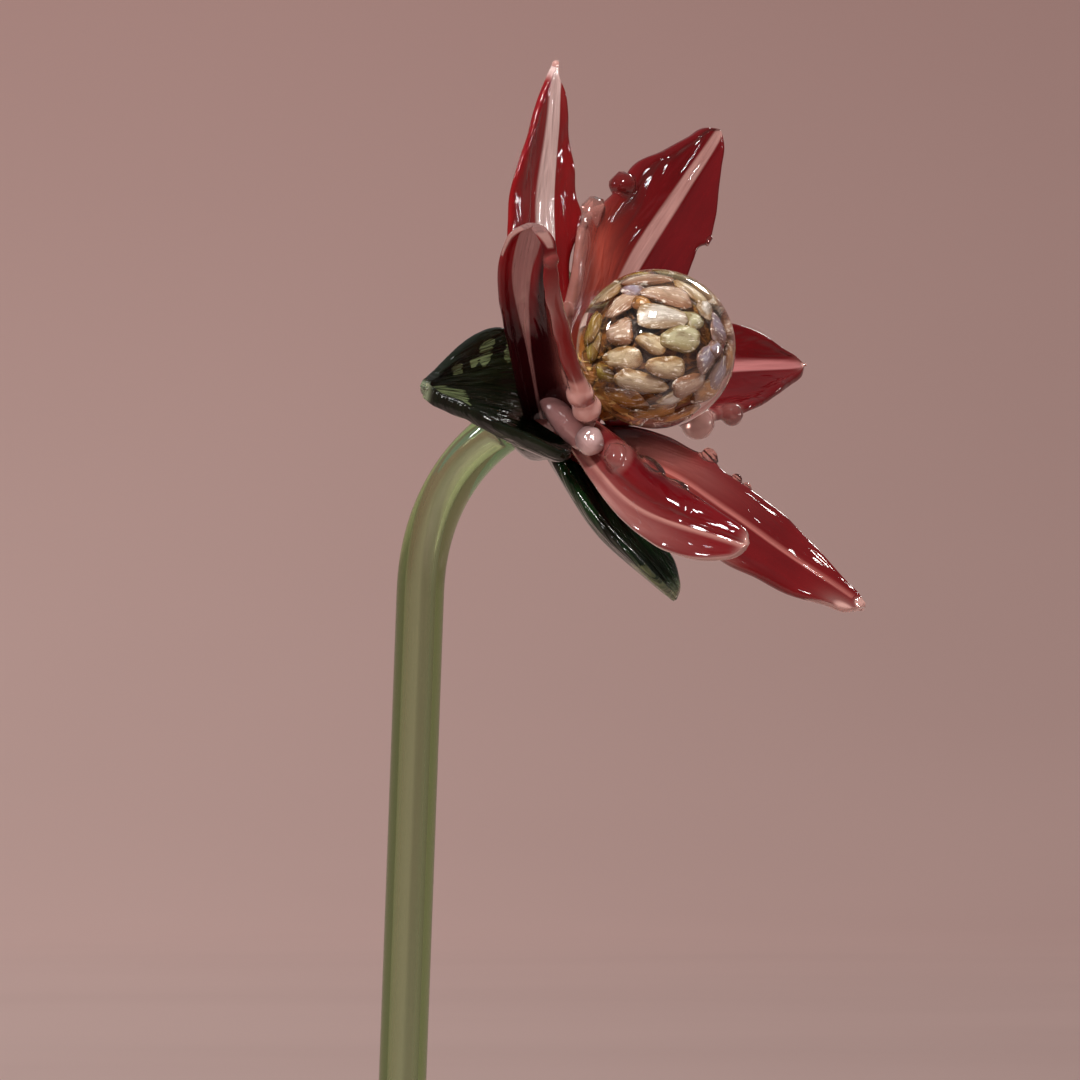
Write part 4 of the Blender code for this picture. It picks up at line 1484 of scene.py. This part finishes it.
        # How far each point faces the front, where painted shade darkens the gaps between the chips.
        front = shape.verts.layers.float.new("front")
        for vert in shape.verts:
            vert[front] = ease(0.2, 0.9, -(vert.co - centre).normalized().y)
        add_piece("core_amber", shape, CoreGlass().dress(), "core")

    def _chips(self, centre: Vector) -> None:
        """The chips, laid over the core like scales: the layout in front, the rest at their CAD nodes."""
        material = ChipGlass().dress()
        spots = {}
        for node in sorted(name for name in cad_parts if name.startswith("chip_")):
            low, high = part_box(node)
            spots[node] = ((low + high) / 2 - centre).normalized()
        taken = []
        for chip in self.layout:
            outward = chip.outward
            node = min(spots, key=lambda name: spots[name].angle(outward))
            del spots[node]
            taken.append(outward)
            self._chip(node, chip, outward, centre, material)
        for number, (node, outward) in enumerate(spots.items()):
            outward = self._spread(outward, taken)
            taken.append(outward)
            wild = noise.noise(Vector((number * 2.3, 4.1, 0.7)))
            tint = list(Tint)[number * 3 % len(Tint)]
            chip = Chip(0, 0, 3.2 + wild, 2.0 + wild / 2, 70 * wild, tint)
            self._chip(node, chip, outward, centre, material)

    def _spread(self, outward: Vector, taken: list[Vector]) -> Vector:
        """Pushes a direction away from those that are taken, until it's far enough from them."""
        for _ in range(30):
            for other in taken:
                lack = self.chip_apart - outward.angle(other, 0)
                if lack > 0:
                    outward = (outward + (outward - other) * lack).normalized()
        return outward

    def _chip(
        self, node: str, chip: Chip, outward: Vector, centre: Vector, material: bpy.types.Material
    ) -> None:
        """One chip: a flattened pebble with a broken outline, tipped up a little at one end.

        Args:
            node: Its CAD node.
            chip: Its sizes and tint.
            outward: From the core's middle to the chip.
            centre: The core's middle.
            material: The chips' finish.
        """
        seed = float(node.split("_")[1]) * 3.7
        flip, tipped, lifted = (noise.noise(Vector((seed, i * 2.3, 0.7))) for i in (1, 3, 4))
        level = Vector((1, 0.35 * outward.x, 0))
        long = (level - outward * level.dot(outward)).normalized()
        pushes = [Vector((seed, 0, 0))] + [Vector((0, seed, 0))] * 2
        shape = bmesh.new()
        bmesh.ops.create_icosphere(shape, subdivisions=4, radius=1)
        tint = shape.verts.layers.float_color.new("tint")
        along, aside = (shape.verts.layers.float.new(name) for name in ("along", "aside"))
        middle, edge = chip.tint.value
        for vert in shape.verts:
            spot = vert.co.copy()
            brink = Vector((spot.x, spot.y)).length + 0.4 * noise.noise(spot * 2 + pushes[0])
            # The edge colour goes to the broken outline, and also to the lower side as painted shade.
            thin = max(ease(0.55, 1.0, brink), 0.9 * ease(0.1, -0.85, spot.y))
            vert[tint] = (*(m + (e - m) * thin for m, e in zip(middle, edge)), 1)
            vert[along], vert[aside] = spot.x * chip.long + seed, spot.y * chip.wide + seed
            swell = 1 + 0.35 * (spot.x * spot.y) ** 2
            for (deep, fine), push in zip(self.chip_lumps, pushes):
                swell += deep * noise.noise(spot * fine + push)
            vert.co *= swell
            vert.co.y *= 1 - 0.3 * vert.co.x * (1 if flip > 0 else -1)
        sizes = Vector((chip.long, chip.wide, self.chip_thick)) * MM
        tip = Matrix.Rotation(radians(8 + 14 * tipped), 3, "Y")
        lean = Matrix.Rotation(radians(chip.lean), 3, "Z")
        facing = Matrix((long, outward.cross(long), outward)).transposed()
        orbit = self.chip_orbit * (1 + 0.05 * lifted)
        turned = (facing @ lean @ tip @ Matrix.Diagonal(sizes)).to_4x4()
        move(shape, Matrix.Translation(centre + outward * orbit) @ turned)
        add_piece(f"{node}_pebble", shape, material, node)


# ---------------------------------------------------------------- stem and vase


@dataclass(frozen=True)
class Stem:
    """The bored stem: it stands on the vase's floor, leans on its neck and bends over at the top. Metres."""

    lean: float = 0.0408
    radius: float = 6 * MM
    bore: float = 2.7 * MM
    bore_start: float = 1.5 * MM
    bore_end: float = 4 * MM
    bend_start: float = 297 * MM
    bend_pull: tuple[float, float] = (24 * MM, 10 * MM)
    end_straight: float = 2 * MM
    end_back: float = -12.3 * MM
    off_axis: float = 3 * MM
    rim_reach: float = 6.7 * MM
    rim_height: float = 165 * MM
    sides: int = 64
    steps: int = 24
    bend_steps: int = 40

    def line(self, bottom: float, trim: float) -> list[Vector]:
        """Points down the stem's middle.

        Args:
            bottom: The height that it starts from.
            trim: How much is left off at its top.

        Returns:
            The points, from the foot up.
        """

        def straight(height: float) -> Vector:
            """The middle of the straight part at a height."""
            return FLOWER.level * (self.rim_reach + self.lean * (height - self.rim_height)) + UP * height

        upright = (UP - FLOWER.axis * FLOWER.axis.z).normalized()
        end = FLOWER.base + FLOWER.axis * (self.end_back - trim) + upright * self.off_axis
        joint = end - FLOWER.axis * self.end_straight
        up = (straight(1) - straight(0)).normalized()
        start = straight(self.bend_start)
        pulls = start + up * self.bend_pull[0], joint - FLOWER.axis * self.bend_pull[1]
        bend = interpolate_bezier(start, *pulls, joint, self.bend_steps)
        rise = [straight(bottom + (self.bend_start - bottom) * i / self.steps) for i in range(self.steps)]
        return rise + list(bend) + [end]

    def build(self) -> None:
        """Builds and dresses the stem: the tube's outside, and its bore as a skin that faces the hollow."""
        low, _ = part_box("stem")
        foot = low.z + self.radius * self.lean
        path = self.line(foot, 0)
        outside = sweep(path, [self.radius] * len(path), self.sides)
        hollow_path = self.line(foot + self.bore_start, self.bore_end)
        hollow = sweep(hollow_path, [self.bore] * len(hollow_path), self.sides // 2)
        bmesh.ops.reverse_faces(hollow, faces=hollow.faces)
        add_piece("stem_tube", join(outside, hollow), StemGlass().dress(), "stem")


@dataclass(frozen=True)
class Vase:
    """The turned stoneware bottle. Metres, but the cove inside its foot is millimetres in and up."""

    foot_radius: float = 46 * MM
    belly_radius: float = 52 * MM
    belly_height: float = 48 * MM
    neck_radius: float = 17 * MM
    neck_start: float = 122 * MM
    lip_flare: float = 3 * MM
    wall: float = 4 * MM
    belly_extra: float = 0.02
    floor: float = 10 * MM
    chamfer: float = 1.5 * MM
    foot_ring: float = 6 * MM
    cove_height: float = 6 * MM
    cove: Stations = ((14, 0), (5, 0.7), (1.6, 2.8))
    lip_round: float = 1.5 * MM
    lip_steps: int = 8
    steps: int = 128

    @staticmethod
    def rows(low: float, high: float, steps: int) -> list[float]:
        """Heights from low to high, in even steps."""
        return [low + (high - low) * i / steps for i in range(steps + 1)]

    def outer(self, height: float, top: float) -> float:
        """The outside radius at a height."""
        if height < self.belly_height:
            rise = sin(pi / 2 * height / self.belly_height)
            return self.foot_radius + (self.belly_radius - self.foot_radius) * rise
        if height < self.neck_start:
            along = (height - self.belly_height) / (self.neck_start - self.belly_height)
            return self.neck_radius + (self.belly_radius - self.neck_radius) * (1 + cos(pi * along)) / 2
        return self.neck_radius + self.lip_flare * ((height - self.neck_start) / (top - self.neck_start)) ** 2

    def inner(self, height: float, top: float) -> float:
        """The inside radius at a height."""
        radius = self.outer(height, top)
        thinned = radius - self.wall - max(0.0, radius - self.neck_radius) * self.belly_extra
        return min(thinned, self.neck_radius - self.wall) if height >= self.neck_start else thinned

    def build(self) -> None:
        """Builds and dresses the vase: its section runs up the inside, over the lip and down the outside."""
        _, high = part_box("vase")
        top = high.z
        wall_from = self.floor + self.cove_height
        lip_from = top - self.lip_round
        edge = self.inner(wall_from, top)
        cove = [(edge - inset * MM, self.floor + rise * MM) for inset, rise in self.cove]
        inside = [(self.inner(z, top), z) for z in self.rows(wall_from, lip_from, 60)]
        outside = [(self.outer(z, top), z) for z in self.rows(self.chamfer, lip_from, 64)]
        lip_inner, lip_outer = self.inner(lip_from, top), self.outer(top, top)
        middle, half = (lip_inner + lip_outer) / 2, (lip_outer - lip_inner) / 2
        turns = [pi * i / self.lip_steps for i in range(1, self.lip_steps)]
        lip = [(middle - half * cos(angle), lip_from + self.lip_round * sin(angle)) for angle in turns]
        foot = [(self.foot_radius - self.chamfer, 0), (self.foot_radius - self.foot_ring, 0), (0, 0)]
        shape = turn([(0, self.floor)] + cove + inside + lip + outside[::-1] + foot, self.steps)
        face_out(shape)
        add_piece("bottle_vase", shape, StonewareGlaze().dress(top), "vase")


# ---------------------------------------------------------------- studio


@dataclass(frozen=True)
class Lamp:
    """A soft box: where it stands from the flower, how big it is, its power and its colour."""

    name: str
    offset: tuple[float, float, float]
    size: tuple[float, float]
    power: float
    colour: Colour = (1, 1, 1)


@dataclass(frozen=True)
class Studio:
    """The round sweep, the lamps, the sky and the camera. Metres."""

    aim: tuple[float, float] = (40.9 * MM, 310 * MM)
    depth: float = -30 * MM
    view_width: float = 270 * MM
    distance: float = 5.0
    sweep_floor: float = 10.6
    sweep_radius: float = 12.8
    sweep_top: float = 5.0
    middle: float = 2.0
    cove_steps: int = 24
    around: int = 96
    paper_rise: float = 1.2
    below: float = 0.02 * MM
    sky: Colour = (1.0, 0.94, 0.91)
    sky_strength: float = 0.3
    lamps: tuple[Lamp, ...] = (
        Lamp("key", (-0.1, -1.05, 1.25), (0.28, 0.24), 30.0, (1.0, 0.97, 0.93)),
        Lamp("side", (-1.5, -0.2, 0.75), (0.08, 0.26), 7.0, (0.97, 0.98, 1.0)),
        Lamp("glint", (-0.55, -1.3, 0.6), (0.07, 0.11), 3.5),
        Lamp("spark", (1.5, 0.28, -0.02), (0.05, 0.14), 3.0),
        Lamp("rim", (0.6, 1.4, 0.9), (0.3, 0.25), 7.0, (1.0, 0.97, 0.94)),
    )

    def build(self) -> None:
        """Sets up everything round the object."""
        self._sweep()
        self._sky()
        low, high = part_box("dome")
        subject = (low + high) / 2
        for lamp in self.lamps:
            self._lamp(lamp, subject)
        self._camera()
        view = bpy.context.scene.view_settings
        view.view_transform = "Standard"
        view.look = "None"

    def _sweep(self) -> None:
        """A floor that curves up into a wall all round."""
        rise = self.sweep_radius - self.sweep_floor
        angles = [pi / 2 * i / self.cove_steps for i in range(self.cove_steps + 1)]
        cove = [(self.sweep_floor + rise * sin(angle), rise * (1 - cos(angle))) for angle in angles]
        flat = [(0, 0), (self.middle, 0)]
        shape = turn(flat + cove + [(self.sweep_radius, self.sweep_top)], self.around)
        move(shape, Matrix.Translation(UP * -self.below))
        stand("studio_sweep", shape, StudioPaper().dress(self.paper_rise))

    def _sky(self) -> None:
        """Even soft light from above the sweep."""
        world = bpy.data.worlds.new("soft_sky")
        world.use_nodes = True
        background = world.node_tree.nodes["Background"]
        background.inputs["Color"].default_value = (*self.sky, 1)
        background.inputs["Strength"].default_value = self.sky_strength
        bpy.context.scene.world = world

    def _lamp(self, lamp: Lamp, subject: Vector) -> None:
        """Hangs one soft box, facing the flower."""
        light = bpy.data.lights.new(f"{lamp.name}_box", "AREA")
        light.shape = "RECTANGLE"
        light.size, light.size_y = lamp.size
        light.energy = lamp.power
        light.color = lamp.colour
        holder = bpy.data.objects.new(light.name, light)
        place = subject + Vector(lamp.offset)
        facing = (subject - place).to_track_quat("-Z", "Y").to_matrix().to_4x4()
        holder.matrix_world = Matrix.Translation(place) @ facing
        holder.visible_camera = False
        bpy.context.scene.collection.objects.link(holder)

    def _camera(self) -> None:
        """A long lens, level with the flower."""
        lens = bpy.data.cameras.new("long_lens")
        lens.sensor_width = 36
        lens.lens = lens.sensor_width * self.distance / self.view_width
        lens.clip_end = 100
        camera = bpy.data.objects.new("camera", lens)
        camera.location = (self.aim[0], self.depth - self.distance, self.aim[1])
        camera.rotation_euler = (pi / 2, 0, 0)
        bpy.context.scene.collection.objects.link(camera)
        bpy.context.scene.camera = camera


def main() -> None:
    """Builds the object piece by piece, then the studio round it."""
    logging.basicConfig(level=logging.INFO, format="%(message)s")
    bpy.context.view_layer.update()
    Vase().build()
    Stem().build()
    Middle().build()
    Calyx().build()
    Corolla().build()
    Studio().build()


if __name__ == "__main__":
    main()
